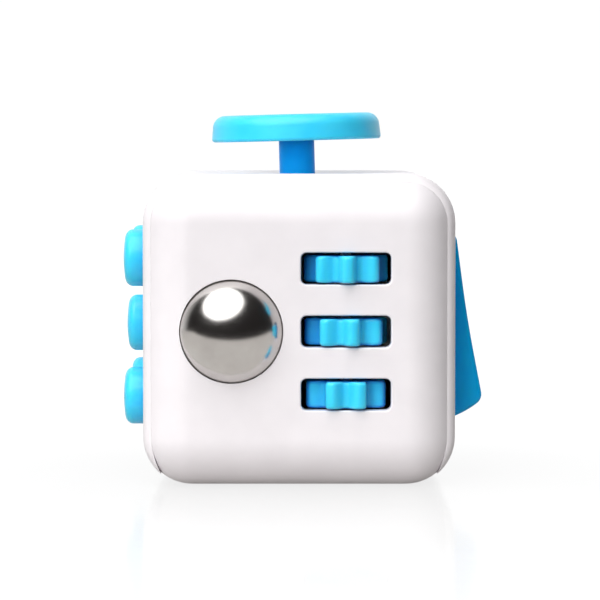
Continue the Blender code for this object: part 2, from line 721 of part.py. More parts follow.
def joystick_set(blue, dark_blue, steel, inner):
    """Disc, stem, gimbal ring, spring and cage."""
    pivot = (0, 0, PIVOT_Z)
    profile = [(0, DISC_TOP)]
    inset = DISC_RADIUS - 0.12 - DISC_TOP_EDGE
    for k in range(5):
        a = math.radians(90 * k / 4)
        profile.append((inset + DISC_TOP_EDGE * math.sin(a), DISC_TOP - DISC_TOP_EDGE * (1 - math.cos(a))))
    inset = DISC_RADIUS - DISC_BOTTOM_EDGE
    for k in range(3):
        a = math.radians(45 * k)
        radius = inset + DISC_BOTTOM_EDGE * math.cos(a)
        profile.append((radius, DISC_BOTTOM + DISC_BOTTOM_EDGE * (1 - math.sin(a))))
    profile += [(1.6, DISC_BOTTOM), (1.6, DISC_BOTTOM + 1.7), (0, DISC_BOTTOM + 1.7)]
    turned("joystick_disc", profile, "Z", (0, 0), blue, steps=32, origin=pivot, lean=STICK_LEAN)

    flat = PIVOT_Z - 0.8
    low = math.degrees(math.asin((flat - PIVOT_Z) / SWIVEL_RADIUS))
    high = math.degrees(math.acos(STEM_RADIUS / SWIVEL_RADIUS))
    profile = [(0, 22.6), (1.0, 22.6), (1.0, flat)]
    profile += arc(0, PIVOT_Z, SWIVEL_RADIUS, low, high, 5)
    profile += [(STEM_RADIUS, 36.4), (1.5, 36.4), (1.5, 38.0), (0, 38.0)]
    stem = turned("joystick_stem", profile, "Z", (0, 0), dark_blue, 24, origin=pivot, lean=STICK_LEAN)
    fuse(stem, rod("stem_trunnions", "Y", (0, PIVOT_Z), TRUNNION, -4.8, 4.8, steps=12))

    profile = [(RING_INNER, PIVOT_Z - 0.9), (RING_OUTER, PIVOT_Z - 0.9)]
    profile += [(RING_OUTER, PIVOT_Z + 0.9), (RING_INNER, PIVOT_Z + 0.9)]
    ring = turned("gimbal_ring", profile, "Z", (0, 0), inner, 24, ring=True, origin=pivot)
    pins = []
    for k, side_x in enumerate((-1, 1)):
        ends = sorted((side_x * 4.3, side_x * 5.9))
        pins.append(rod(f"ring_trunnion_{k}", "X", (0, PIVOT_Z), TRUNNION, *ends, steps=12))
    fuse(ring, *pins)
    cut(ring, rod("ring_bores", "Y", (0, PIVOT_Z), TRUNNION + 0.1, -6.0, 6.0, steps=16))

    coil("joystick_spring", "Z", (0, 0), 2.1, 0.2, CAGE_BOTTOM + 0.85, flat - 0.05, 3, steel)

    profile = [
        (2.0, CAGE_BOTTOM),
        (CAGE_OUTER, CAGE_BOTTOM),
        (CAGE_OUTER, CAGE_TOP),
        (CAGE_INNER, CAGE_TOP),
        (CAGE_INNER, CAGE_BOTTOM + 0.8),
        (2.0, CAGE_BOTTOM + 0.8),
    ]
    cage = turned("joystick_cage", profile, "Z", (0, 0), inner, 24, ring=True)
    lugs = []
    holes = [rod("cage_bores", "X", (0, PIVOT_Z), TRUNNION + 0.1, -7.0, 7.0, steps=16)]
    for k, side_x in enumerate((-1, 1)):
        ends = sorted((side_x * 5.6, side_x * 8.9))
        low = (ends[0], -1.6, CAGE_TOP - 1.05)
        lugs.append(block(f"cage_lug_{k}", low, (ends[1], 1.6, CAGE_TOP)))
        centre = (side_x * CAGE_SCREW_X, 0)
        holes.append(rod(f"cage_hole_{k}", "Z", centre, 0.75, 27.5, 29.5, steps=12))
        name = ("left", "right")[k]
        seat = CAGE_TOP - 1.1
        screw(f"cage_screw_{name}", "Z", centre, seat, -1, 2.8, steel, head=1.15)
    fuse(cage, *lugs)
    cut(cage, *holes)


def rocker_outline():
    """The rocker's side view, upright: a hollow V face, round ends and a hub round the pin."""
    corner = ROCKER_CORNER
    slope = math.radians(ROCKER_HOLLOW)
    steps = 6
    # The corner circle touches the sloping face and the round end.
    reach = ROCKER_END_RADIUS - corner
    top = None
    for k in range(400):
        z = 6.0 + 0.01 * k
        face = ROCKER_FACE + z * math.tan(slope)
        x = face - corner / math.cos(slope)
        if math.hypot(x, z) >= reach:
            top = (x, z)
            break
    half = [(ROCKER_FACE, 0.0)]
    start = -math.degrees(slope)
    end = math.degrees(math.atan2(top[1], top[0]))
    for k in range(steps + 1):
        a = math.radians(start + (end - start) * k / steps)
        half.append((top[0] + corner * math.cos(a), top[1] + corner * math.sin(a)))
    last = math.degrees(math.acos(1.2 / ROCKER_END_RADIUS))
    for k in range(1, 5):
        a = math.radians(end + (last - end) * k / 4)
        half.append((ROCKER_END_RADIUS * math.cos(a), ROCKER_END_RADIUS * math.sin(a)))
    half += [(1.2, 7.2), (2.3, 6.6), (2.3, 2.6), (0.2, 2.2), (-1.5, 0.9), (-2.1, 0.3), (-2.35, 0.05)]
    mirrored = [(x, -z) for x, z in reversed(half[1:])]
    return half + mirrored


def rocker_set(blue, steel, inner):
    """Rocker, pin, leaf spring and housing."""
    pivot = (ROCKER_PIVOT_X, 0, MID)
    turn = math.radians(-ROCKER_TILT)
    outline = []
    for x, z in rocker_outline():
        # Tilted so that the lower end stands out.
        tilted_x = x * math.cos(turn) + z * math.sin(turn)
        tilted_z = -x * math.sin(turn) + z * math.cos(turn)
        outline.append((ROCKER_PIVOT_X + tilted_x, MID + tilted_z))
    width = ROCKER_HALF_WIDTH
    rocker = extruded("rocker", outline, "Y", -width, width, blue, origin=pivot)
    edge = rocker.modifiers.new("edges", "BEVEL")
    edge.width = 0.45 * MM
    edge.segments = 2
    edge.limit_method = "ANGLE"
    edge.angle_limit = math.radians(60)
    centre = (ROCKER_PIVOT_X, MID)
    cut(rocker, rod("rocker_bore", "Y", centre, 0.85, -7.0, 7.0, steps=16))
    rod("rocker_pin", "Y", centre, 0.75, -6.9, 6.9, steel, steps=16)

    low = (HOUSING_BACK, -10.0, MID - 5.0)
    housing = block("rocker_housing", low, (10.0, 10.0, MID + 5.0), inner)
    cheeks = []
    holes = [rod("housing_bores", "Y", centre, 0.8, -8.0, 8.0, steps=16)]
    for k, side_y in enumerate((-1, 1)):
        ends = sorted((side_y * 5.4, side_y * 7.0))
        low = (HOUSING_BACK + 0.5, ends[0], MID - 2.2)
        cheeks.append(block(f"housing_cheek_{k}", low, (14.3, ends[1], MID + 2.2)))
        centre_screw = (side_y * HOUSING_SCREW_Y, MID)
        holes.append(rod(f"housing_hole_{k}", "X", centre_screw, 0.75, 8.5, 10.5, steps=12))
        name = ("front", "back")[k]
        screw(f"housing_screw_{name}", "X", centre_screw, HOUSING_BACK - 0.05, -1, 3.9, steel, head=1.25)
    fuse(housing, *cheeks)
    cut(housing, *holes)

    # A steel strip with a hump that the rocker's nose snaps across.
    front = [(10.1, -4.6), (10.1, -0.6), (10.45, -0.1), (10.45, 0.1), (10.1, 0.6), (10.1, 4.6)]
    strip = [(x + 0.15, MID + z) for x, z in front]
    strip += [(x, MID + z) for x, z in reversed(front)]
    extruded("rocker_leaf_spring", strip, "Y", -2.0, 2.0, steel)


def dial_set(blue, steel, inner):
    """Dial, its screw and washer, the small cap and the screws it hides."""
    centre = (0, MID)
    outer = DIAL_OUTER
    profile = [(1.4, DIAL_INNER), (DIAL_RADIUS - 0.3, DIAL_INNER), (DIAL_RADIUS, DIAL_INNER + 0.3)]
    for k in range(4):
        a = math.radians(90 * k / 3)
        radius = DIAL_RADIUS - 0.9 + 0.9 * math.cos(a)
        profile.append((radius, outer - 0.9 + 0.9 * math.sin(a)))
    profile += [(2.95, outer), (2.95, DIAL_INNER + 1.15), (1.4, DIAL_INNER + 1.15)]
    origin = (0, HALF, MID)
    dial = turned("spin_dial", profile, "Y", centre, blue, steps=36, ring=True, origin=origin)
    cut(dial, spherical_dish("dial_dimple", "Y", (0, MID + 6.6), outer, 2.9, 0.9, 1, steps=16))
    profile = [(0, 18.05), (2.8, 18.05), (2.8, outer - 0.15), (2.6, outer), (0, outer + 0.05)]
    turned("dial_cap", profile, "Y", centre, blue, steps=24, origin=origin)
    profile = [(1.4, 15.75), (2.8, 15.75), (2.8, 16.0), (1.4, 16.0)]
    turned("dial_washer", profile, "Y", centre, steel, steps=16, ring=True)
    profile = [
        (0, 17.75),
        (0.6, 17.95),
        (2.4, 17.95),
        (2.6, 17.75),
        (2.6, 17.25),
        (1.3, 17.25),
        (1.3, 15.75),
        (0.88, 15.75),
        (0.88, 12.6),
        (0, 12.1),
    ]
    turned("dial_screw", profile, "Y", centre, steel, steps=16)
    for k, name in enumerate(("left", "right")):
        screw_centre = ((2 * k - 1) * CASE_SCREW_X, CASE_SCREW_Z)
        screw(f"case_screw_{name}", "Y", screw_centre, 15.02, 1, 4.4, steel, thick=0.6)


def build():
    clear_scene()
    white = material("white_plastic", (0.84, 0.82, 0.83), 0.38)
    blue = material("blue_plastic", (0.03, 0.50, 0.83), 0.35)
    dark_blue = material("stem_blue_plastic", (0.02, 0.42, 0.75), 0.4)
    chrome = material("polished_steel", (0.72, 0.70, 0.68), 0.12, 1.0)
    steel = material("plated_steel", (0.55, 0.55, 0.56), 0.3, 1.0)
    rubber = material("silicone_rubber", (0.12, 0.12, 0.13), 0.75)
    inner = material("inner_plastic", (0.78, 0.78, 0.76), 0.5)
    front_shell(white)
    side_shell(white)
    roller_set(blue, steel, inner)
    ball_set(chrome, steel, inner)
    button_set(blue, steel, rubber, inner)
    joystick_set(blue, dark_blue, steel, inner)
    rocker_set(blue, steel, inner)
    dial_set(blue, steel, inner)


build()
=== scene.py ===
"""Looks for the fidget cube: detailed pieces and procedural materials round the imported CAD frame.

Shapes are drawn in millimetres and become metres when a mesh is made.
X runs to the rocker side, -X to the button side, -Y to the roller side and +Z to the joystick.
"""

import json
import math

import bmesh
import bpy
from mathutils import Matrix, Vector


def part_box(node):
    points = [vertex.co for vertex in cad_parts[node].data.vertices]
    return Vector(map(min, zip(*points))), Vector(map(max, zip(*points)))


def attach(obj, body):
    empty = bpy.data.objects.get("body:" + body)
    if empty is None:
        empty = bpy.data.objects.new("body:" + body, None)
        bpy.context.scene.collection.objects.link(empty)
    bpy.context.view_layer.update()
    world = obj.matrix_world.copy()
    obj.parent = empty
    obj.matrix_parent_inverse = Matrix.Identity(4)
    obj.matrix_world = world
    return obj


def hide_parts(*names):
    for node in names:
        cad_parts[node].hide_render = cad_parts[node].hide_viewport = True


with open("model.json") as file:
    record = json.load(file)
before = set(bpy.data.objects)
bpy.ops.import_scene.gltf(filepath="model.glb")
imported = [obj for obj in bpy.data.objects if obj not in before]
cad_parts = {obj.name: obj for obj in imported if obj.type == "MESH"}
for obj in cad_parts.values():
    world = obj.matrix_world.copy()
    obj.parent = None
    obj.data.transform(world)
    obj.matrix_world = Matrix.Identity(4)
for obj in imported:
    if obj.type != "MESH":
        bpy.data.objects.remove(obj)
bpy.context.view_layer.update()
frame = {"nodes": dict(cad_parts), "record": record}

MM = 0.001


def middle(node):
    """The centre of a CAD node's box, in millimetres."""
    low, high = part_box(node)
    return (low + high) / 2 / MM


# Case
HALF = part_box("side_shell")[1].x / MM
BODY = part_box("side_shell")[1].z / MM
MID = BODY / 2
EDGE_RADIUS = 5.2
FRONT_STEPS = 14
SIDE_STEPS = 14
WALL = 2.0
CAVITY_HALF = HALF - WALL
CAVITY_FLOOR = 3.6
CAVITY_CEILING = 29.2
CAVITY_RADIUS = 1.5
TOP_DISH_RADIUS = 13.1
TOP_DISH_DEPTH = 1.9
BASE_DISH_RADIUS = 10.5
BASE_DISH_DEPTH = 2.0

# The seam between the two shells. It thins out down the lower corners, over SEAM_END degrees.
SEAM_INSET = 0.9
SEAM_GAP = 0.008
SEAM_END = 50.0
SEAM_END_GAP = 0.1
SEAM_TAPER = 0.85
SEAM_TAPER_POWER = 2.5
LAP_WIDTH = 11.3
LAP_FLOOR = 5.45

# The side shell's rims, which curve in to meet the seam
SKIN_FRONT = 14.25
SKIN_EDGE = 0.9
SKIN_DEPTH = 1.3
SKIN_START = 22.0
SKIN_STEPS = 9

# Holes: how far cutters reach past a face, and how hole rims are rounded
OVER = 1.0
RIM = 0.2
RIM_STEPS = 5
RIM_LIFT = 0.004
RIM_WIDEN = 0.05

# Screw posts: how far they run into the wall, and how far short of their part they stop
POST_ROOT = 0.6
POST_SHORT = 0.1
PILOT_RADIUS = 0.65

# Rollers. A turn says how far the lobe at the front is turned towards +X, in degrees.
ROLLER_TURNS = {"bottom": 22.3, "middle": 11.3, "top": 3.0}
LOBES = 8
LOBE_TIP = 4.45
LOBE_ROOT = 3.25
LOBE_STEEPNESS = 0.35
LOBE_POINTS = 24
ROLLER_HEIGHT = 2.82
ROLLER_DROP = 0.08
ROLLER_EDGE = 0.4
ROLLER_BORE = 0.85
WINDOW_WIDTH = 9.44
WINDOW_HEIGHT = 3.35
WINDOW_CORNER = 0.6
BRACKET_FRONT = -8.2
BRACKET_SCREWS = (5.6, 27.5)
BRACKET_POST = 1.3
BRACKET_PILOT = (-12.8, -7.5)

# Ball. The hole's rim is listed as (distance out from the hole, distance in from the face).
BALL_RADIUS = 6.0
BALL_GAP = 0.07
BALL_HOLE_LIP = 0.12
BALL_HOLE_RIM = ((0.02, 0.03), (0.07, 0.01), (0.14, -0.01))
BALL_HOLE_MOUTH = 0.2
SLEEVE_FRONT = -8.35
SLEEVE_SCREW_OFFSET = 8.3
SLEEVE_POST = 1.5
SLEEVE_PILOT = (-13.0, -8.0)

# Buttons
BUTTON_NAMES = ("front_top", "front_bottom", "centre", "back_top", "back_bottom")
BUTTON_RADIUS = 3.05
BUTTON_EDGE = 1.0
BUTTON_CROWN = 0.16
BUTTON_BACK = -14.3
BUTTON_HOLE = 3.3
BUTTON_HOLE_END = -13.9
BUTTON_FLANGE = 3.75
BUTTON_FLANGE_END = -13.5
BUTTON_STEM = 1.1
BUTTON_STEM_END = -12.55
PLATE_OUTER = -11.5
PLATE_SCREW_OFFSET = 8.7
PLATE_PILOT = (-14.2, -11.0)
SIDE_POST = 1.4

# Joystick
DISC_RADIUS = 9.22
DISC_BOTTOM = 36.43
DISC_TOP = 39.3
DISC_TOP_EDGE = 1.35
DISC_BOTTOM_EDGE = 0.35
DISC_TAPER = 0.12
DISC_DISH = 0.35
SOCKET_RADIUS = 1.6
SOCKET_DEPTH = 1.7
STEM_RADIUS = 1.94
STEM_TOP = 36.4
STEM_HOLE = 3.3
SPIGOT_RADIUS = 1.5
SPIGOT_TOP = 38.0
SWIVEL_RADIUS = 3.4
SWIVEL_FLAT = 0.8
TAIL_RADIUS = 1.0
TAIL_END = 22.6
STICK_LEAN = -1.5
TRUNNION = 0.6
TRUNNION_REACH = 4.8
CAGE_SCREW_X = 7.5
CAGE_PILOT = (28.6, 30.9)

# Rocker. The back's points are (outwards, upwards) from the pin, and its lower half mirrors them.
ROCKER_TILT = 9.2
ROCKER_HOLLOW = 1.7
HOLLOW_BLEND = 0.06
HOLLOW_REACH = 4.0
ROCKER_FACE = 5.45
ROCKER_END_RADIUS = 10.7
ROCKER_CORNER = 1.3
ROCKER_HALF_WIDTH = 5.0
ROCKER_GAP = 0.2
ROCKER_EDGE = 0.45
ROCKER_BACK = (
    (1.2, 7.2), (2.3, 6.6), (2.3, 2.6), (0.2, 2.2), (-1.5, 0.9), (-2.1, 0.3), (-2.35, 0.05)
)
ROCKER_BORE = 0.85
HUB_REACH = 7.5
HUB_FRONT = 3.0
OPENING_ANGLE = 96.0
HOUSING_SCREW_Y = 8.5
HOUSING_POST_END = 10.1
HOUSING_PILOT = (9.5, 13.2)

# Dial
DIAL_RADIUS = 11.0
DIAL_GAP = 0.25
DIAL_RECESS = 0.8
DIAL_INNER = 16.05
DIAL_BORE = 1.4
DIAL_BACK_EDGE = 0.3
DIAL_FRONT_EDGE = 0.9
DIAL_FLAT = 7.0
DIAL_POST = 2.2
DIAL_POST_END = 11.8
DIAL_PILOT_RADIUS = 0.95
DIAL_PILOT_END = 11.0
DIMPLE_OFFSET = 6.6
DIMPLE_RADIUS = 2.9
DIMPLE_DEPTH = 0.9
PLUG_RADIUS = 2.8
PLUG_EDGE = 0.2
PLUG_BACK = 18.05
PLUG_HOLE = 2.95
PLUG_SEAT = 1.15
CASE_SCREW_X = 5.2
CASE_SCREW_Z = 24.3
CASE_SCREW_HOLE = (0.75, 13.7)
CASE_SCREW_HEAD = (1.5, 15.0)
CASE_PILOT = (10.2, 15.2)
TAB_HALF = 1.9
TAB_END = 9.2
TAB_STEP = 1.2
TAB_RISE = 2.0


# ---------------------------------------------------------------- meshes


def finish_mesh(name, bm, origin=(0, 0, 0), lean=0.0):
    """Turn a mesh drawn in millimetres into an object whose origin is the given point."""
    bmesh.ops.recalc_face_normals(bm, faces=bm.faces)
    centre = Vector(origin)
    bmesh.ops.translate(bm, verts=bm.verts, vec=-centre)
    if lean:
        turn = Matrix.Rotation(math.radians(lean), 3, "Y")
        bmesh.ops.rotate(bm, verts=bm.verts, cent=(0, 0, 0), matrix=turn)
    bmesh.ops.scale(bm, verts=bm.verts, vec=(MM, MM, MM))
    mesh = bpy.data.meshes.new(name)
    bm.to_mesh(mesh)
    bm.free()
    made = bpy.data.objects.new(name, mesh)
    made.location = centre * MM
    bpy.context.scene.collection.objects.link(made)
    return made


def place(axis, along, across, up):
    """A point from its distance along an axis and its two other coordinates, in X, Y, Z order."""
    if axis == "X":
        return (along, across, up)
    if axis == "Y":
        return (across, along, up)
    return (across, up, along)


def turned(name, profile, axis, centre, steps=24, ring=False, origin=(0, 0, 0), lean=0.0):
    """A lathe-turned body: profile points are (radius, distance along the axis)."""
    bm = bmesh.new()
    rows = []
    for radius, along in profile:
        if radius <= 0:
            rows.append([bm.verts.new(place(axis, along, *centre))])
            continue
        row = []
        for k in range(steps):
            a = 2 * math.pi * k / steps
            across = centre[0] + radius * math.cos(a)
            up = centre[1] + radius * math.sin(a)
            row.append(bm.verts.new(place(axis, along, across, up)))
        rows.append(row)
    pairs = list(zip(rows, rows[1:]))
    if ring:
        pairs.append((rows[-1], rows[0]))
    for low, high in pairs:
        for k in range(steps):
            j = (k + 1) % steps
            if len(low) == 1:
                bm.faces.new((low[0], high[k], high[j]))
            elif len(high) == 1:
                bm.faces.new((low[k], high[0], low[j]))
            else:
                bm.faces.new((low[k], high[k], high[j], low[j]))
    return finish_mesh(name, bm, origin, lean)


def arc(across, up, radius, start, end, steps):
    """Points of a circular arc about a centre, its angles in degrees from the first direction."""
    points = []
    for k in range(steps + 1):
        a = math.radians(start + (end - start) * k / steps)
        points.append((across + radius * math.cos(a), up + radius * math.sin(a)))
    return points


def rounded_ends(half, radius, steps=5):
    """Layers of a body with both ends rounded over: (inset, distance along its axis)."""
    first = []
    for k in range(steps + 1):
        a = math.radians(90 * k / steps)
        first.append((radius * (1 - math.sin(a)), radius * (1 - math.cos(a)) - half))
    return first + [(inset, -along) for inset, along in reversed(first)]


def rod(name, axis, centre, radius, low, high, steps=24):
    """A plain cylinder, used as a tool or a post."""
    profile = [(0, low), (radius, low), (radius, high), (0, high)]
    return turned(name, profile, axis, centre, steps)


def block(name, low, high, radius=0.0, steps=1):
    """A box between two corners, its edges rounded by radius."""
    bm = bmesh.new()
    bmesh.ops.create_cube(bm, size=1.0)
    size = [high[i] - low[i] for i in range(3)]
    centre = [(high[i] + low[i]) / 2 for i in range(3)]
    bmesh.ops.scale(bm, verts=bm.verts, vec=size)
    bmesh.ops.translate(bm, verts=bm.verts, vec=centre)
    if radius > 0:
        bmesh.ops.bevel(
            bm,
            geom=list(bm.edges),
            offset=radius,
            offset_type="OFFSET",
            segments=steps,
            profile=0.5,
            affect="EDGES",
        )
    return finish_mesh(name, bm)


def lofted(name, layers, axis, origin=(0, 0, 0)):
    """Outlines with the same number of points, placed along an axis and joined into one body."""
    bm = bmesh.new()
    rows = [[bm.verts.new(place(axis, along, *p)) for p in outline] for outline, along in layers]
    count = len(rows[0])
    for low, high in zip(rows, rows[1:]):
        for k in range(count):
            j = (k + 1) % count
            bm.faces.new((low[k], low[j], high[j], high[k]))
    bm.faces.new(rows[0])
    bm.faces.new(rows[-1])
    return finish_mesh(name, bm, origin)


def extruded(name, outline, axis, low, high):
    """A flat outline of (across, up) points pushed along an axis."""
    return lofted(name, [(outline, low), (outline, high)], axis)


def rounded_outline(x0, y0, x1, y1, radius, steps):
    """A rectangle's outline with round corners."""
    corners = ((x1 - radius, y1 - radius, 0), (x0 + radius, y1 - radius, 90))
    corners += ((x0 + radius, y0 + radius, 180), (x1 - radius, y0 + radius, 270))
    points = []
    for cx, cy, start in corners:
        points += arc(cx, cy, radius, start, start + 90, steps)
    return points


def inset_outline(points, amounts):
    """An outline, each point moved inwards along its normal by its own amount."""
    count = len(points)
    area = sum(
        points[k][0] * points[(k + 1) % count][1] - points[(k + 1) % count][0] * points[k][1]
        for k in range(count)
    )
    sign = 1 if area > 0 else -1
    moved = []
    for k, point in enumerate(points):
        here = Vector(point)
        before = (here - Vector(points[k - 1])).normalized()
        after = (Vector(points[(k + 1) % count]) - here).normalized()
        mean = (before + after).normalized()
        normal = Vector((-mean.y, mean.x)) * sign
        stretch = min(1.6, 1 / max(0.2, mean.dot(after)))
        moved.append(tuple(here + normal * amounts[k] * stretch))
    return moved


def combine(target, tools, operation):
    """Apply a group of tool bodies to a target in one exact Boolean, and delete the tools."""
    group = bpy.data.collections.new("tools")
    bpy.context.scene.collection.children.link(group)
    for tool in tools:
        bpy.context.scene.collection.objects.unlink(tool)
        group.objects.link(tool)
    step = target.modifiers.new("step", "BOOLEAN")
    step.operation = operation
    step.solver = "EXACT"
    step.operand_type = "COLLECTION"
    step.collection = group
    settle(target)
    for tool in tools:
        mesh = tool.data
        bpy.data.objects.remove(tool)
        bpy.data.meshes.remove(mesh)
    bpy.data.collections.remove(group)


def settle(target):
    """Replace an object's mesh by the result of its modifiers."""
    graph = bpy.context.evaluated_depsgraph_get()
    made = bpy.data.meshes.new_from_object(target.evaluated_get(graph))
    target.modifiers.clear()
    old = target.data
    target.data = made
    made.name = target.name
    bpy.data.meshes.remove(old)


def cut(target, *tools):
    combine(target, tools, "DIFFERENCE")


def fuse(target, *tools):
    combine(target, tools, "UNION")


def tidy(target):
    """Merge the points that a Boolean leaves almost on top of each other."""
    bm = bmesh.new()
    bm.from_mesh(target.data)
    bmesh.ops.remove_doubles(bm, verts=bm.verts, dist=0.000002)
    bmesh.ops.dissolve_degenerate(bm, edges=bm.edges, dist=0.000001)
    bm.to_mesh(target.data)
    bm.free()


def flare(deep, face, outward, rim=RIM):
    """A hole's growth on its way out, with its rim rounded over: (growth, distance along)."""
    layers = [(0.0, deep)]
    for k in range(RIM_STEPS + 1):
        a = math.radians(90 * k / RIM_STEPS)
        along = face + outward * (RIM_LIFT - rim * (1 - math.sin(a)))
        layers.append((rim * (1 - math.cos(a)), along))
    return layers + [(rim + RIM_WIDEN, face + outward * OVER)]


def flared(radius, deep, face, outward, rim=RIM):
    """A round hole's cutter profile."""
    profile = [(radius + grow, along) for grow, along in flare(deep, face, outward, rim)]
    return [(0, deep)] + profile + [(0, face + outward * OVER)]


def flared_slot(name, axis, half_size, centre, corner, deep, face, outward):
    """A rounded rectangular hole's cutter."""
    layers = []
    for grow, along in flare(deep, face, outward):
        x0, x1 = centre[0] - half_size[0] - grow, centre[0] + half_size[0] + grow
        z0, z1 = centre[1] - half_size[1] - grow, centre[1] + half_size[1] + grow
        layers.append((rounded_outline(x0, z0, x1, z1, corner + grow, 6), along))
    return lofted(name, layers, axis)


def spherical_dish(name, axis, centre, face, radius, depth, outward, steps, rings=14):
    """A lens-shaped cutter for a shallow round dish in a face."""
    sphere = (radius * radius + depth * depth) / (2 * depth)
    level = face + outward * (sphere - depth)
    profile = [(0, face - outward * depth)]
    for k in range(1, rings + 1):
        r = radius * k / rings
        profile.append((r, level - outward * math.sqrt(sphere * sphere - r * r)))
    profile.append((radius + 0.25, face + outward * 0.04))
    profile.append((radius + 0.6, face + outward * 0.07))
    profile.append((radius + 0.6, face + outward * OVER))
    profile.append((0, face + outward * OVER))
    return turned(name, profile, axis, centre, steps)


# ---------------------------------------------------------------- case


def seam_outline(inset, end, steps, top=None):
    """Where the two shells part, seen from the front: it follows the case's outline at an inset.

    It starts end degrees down the lower corners, and stops at a level top if there is one.
    """
    centre = HALF - EDGE_RADIUS
    reach = EDGE_RADIUS + 2 * OVER
    step = 90 / steps
    start = math.radians(-end)
    half = [(HALF + OVER, -OVER)]
    half.append((centre + reach * math.cos(start), EDGE_RADIUS + reach * math.sin(start)))
    below = [end] + [k * step for k in range(int(end / step), -1, -1)]
    for down in below:
        # The side shell thins out towards its lower end.
        radius = EDGE_RADIUS - inset + SEAM_TAPER * (down / SEAM_END) ** SEAM_TAPER_POWER
        a = math.radians(-down)
        half.append((centre + radius * math.cos(a), EDGE_RADIUS + radius * math.sin(a)))
    radius = EDGE_RADIUS - inset
    if top is None:
        half += arc(centre, BODY - EDGE_RADIUS, radius, 0, 90, steps)
    else:
        half.append((centre + radius, top))
    return half + [(-x, z) for x, z in reversed(half)]


def rounded_skin(name):
    """The case's outline from front to back, with both rims rounded over."""
    layers = []
    first = math.radians(SKIN_START)
    for side_y in (-1, 1):
        rim = []
        for k in range(SKIN_STEPS + 1):
            a = math.radians(SKIN_START + (90 - SKIN_START) * k / SKIN_STEPS)
            inset = SKIN_EDGE * (1 - math.sin(a)) / (1 - math.sin(first))
            along = side_y * (SKIN_FRONT - SKIN_DEPTH * (1 - math.cos(a) / math.cos(first)))
            side = HALF - inset
            radius = EDGE_RADIUS - inset
            outline = rounded_outline(-side, inset, side, BODY - inset, radius, SIDE_STEPS)
            rim.append((outline, along))
        layers += rim if side_y < 0 else list(reversed(rim))
    return lofted(name, layers, "Y")


def cavity():
    low = (-CAVITY_HALF, -CAVITY_HALF, CAVITY_FLOOR)
    high = (CAVITY_HALF, CAVITY_HALF, CAVITY_CEILING)
    return block("cavity", low, high, radius=CAVITY_RADIUS, steps=4)


def pilot(axis, centre, ends):
    """A screw's hole in a post."""
    return rod("pilot", axis, centre, PILOT_RADIUS, *ends, steps=16)


def ball_hole(ball):
    """A hole that follows the ball inside the wall and opens with a small rounded rim."""
    seat = BALL_RADIUS + BALL_GAP
    start = math.degrees(math.asin((BALL_HOLE_LIP - HALF - ball.y) / seat))
    inside = list(reversed(arc(0, ball.y, seat, start, 5, 8)))
    edge = inside[-1][0]
    mouth = -HALF - OVER
    profile = [(0, inside[0][1])] + inside
    profile += [(edge + out, inward - HALF) for out, inward in BALL_HOLE_RIM]
    profile += [(edge + BALL_HOLE_MOUTH, mouth), (0, mouth)]
    return turned("hole", profile, "Y", (ball.x, ball.z), steps=96)


def front_case():
    """The U-shaped moulding: roller face, base and dial face."""
    far = HALF + OVER
    gap = SEAM_GAP / 2
    lap = LAP_WIDTH + gap
    root = CAVITY_HALF + POST_ROOT
    ball = middle("roller_ball")
    axle = middle("roller_axle")
    shell = block("case_front", (-HALF, -HALF, 0), (HALF, HALF, BODY), EDGE_RADIUS, FRONT_STEPS)
    outline = seam_outline(SEAM_INSET + gap, SEAM_END + SEAM_END_GAP, FRONT_STEPS)
    combine(shell, [extruded("outline", outline, "Y", -far, far)], "INTERSECT")
    cut(shell, cavity(), block("lap", (-far, -lap, LAP_FLOOR - gap), (far, lap, BODY + OVER)))
    tidy(shell)
    sleeve_screws = [(ball.x, MID + side * SLEEVE_SCREW_OFFSET) for side in (-1, 1)]
    posts = []
    for z in BRACKET_SCREWS:
        posts.append(rod("post", "Y", (axle.x, z), BRACKET_POST, -root, BRACKET_FRONT - POST_SHORT))
    for centre in sleeve_screws:
        posts.append(rod("post", "Y", centre, SLEEVE_POST, -root, SLEEVE_FRONT - POST_SHORT))
    posts.append(rod("post", "Y", (0, MID), DIAL_POST, DIAL_POST_END, root))
    fuse(shell, *posts)

    holes = [spherical_dish("dish", "Z", (0, 0), 0, BASE_DISH_RADIUS, BASE_DISH_DEPTH, -1, 72)]
    holes.append(ball_hole(ball))
    half_size = (WINDOW_WIDTH / 2, WINDOW_HEIGHT / 2)
    deep = OVER - CAVITY_HALF
    for name in ROLLER_TURNS:
        centre = (axle.x, middle(f"roller_{name}").z)
        holes.append(flared_slot("slot", "Y", half_size, centre, WINDOW_CORNER, deep, -HALF, -1))
    for z in BRACKET_SCREWS:
        holes.append(pilot("Y", (axle.x, z), BRACKET_PILOT))
    for centre in sleeve_screws:
        holes.append(pilot("Y", centre, SLEEVE_PILOT))
    floor = HALF - DIAL_RECESS
    recess = flared(DIAL_RADIUS + DIAL_GAP, floor, HALF, 1, rim=0.15)
    profile = [(0, DIAL_PILOT_END), (DIAL_PILOT_RADIUS, DIAL_PILOT_END), (DIAL_PILOT_RADIUS, floor)]
    holes.append(turned("recess", profile + recess[1:], "Y", (0, MID), steps=128))
    narrow, start = CASE_SCREW_HOLE
    wide, seat = CASE_SCREW_HEAD
    # These holes end inside the dial's recess.
    end = far - 0.4
    profile = [(0, start), (narrow, start), (narrow, seat), (wide, seat), (wide, end), (0, end)]
    for side in (-1, 1):
        holes.append(turned("pilot", profile, "Y", (side * CASE_SCREW_X, CASE_SCREW_Z), steps=24))
    cut(shell, *holes)
    return shell


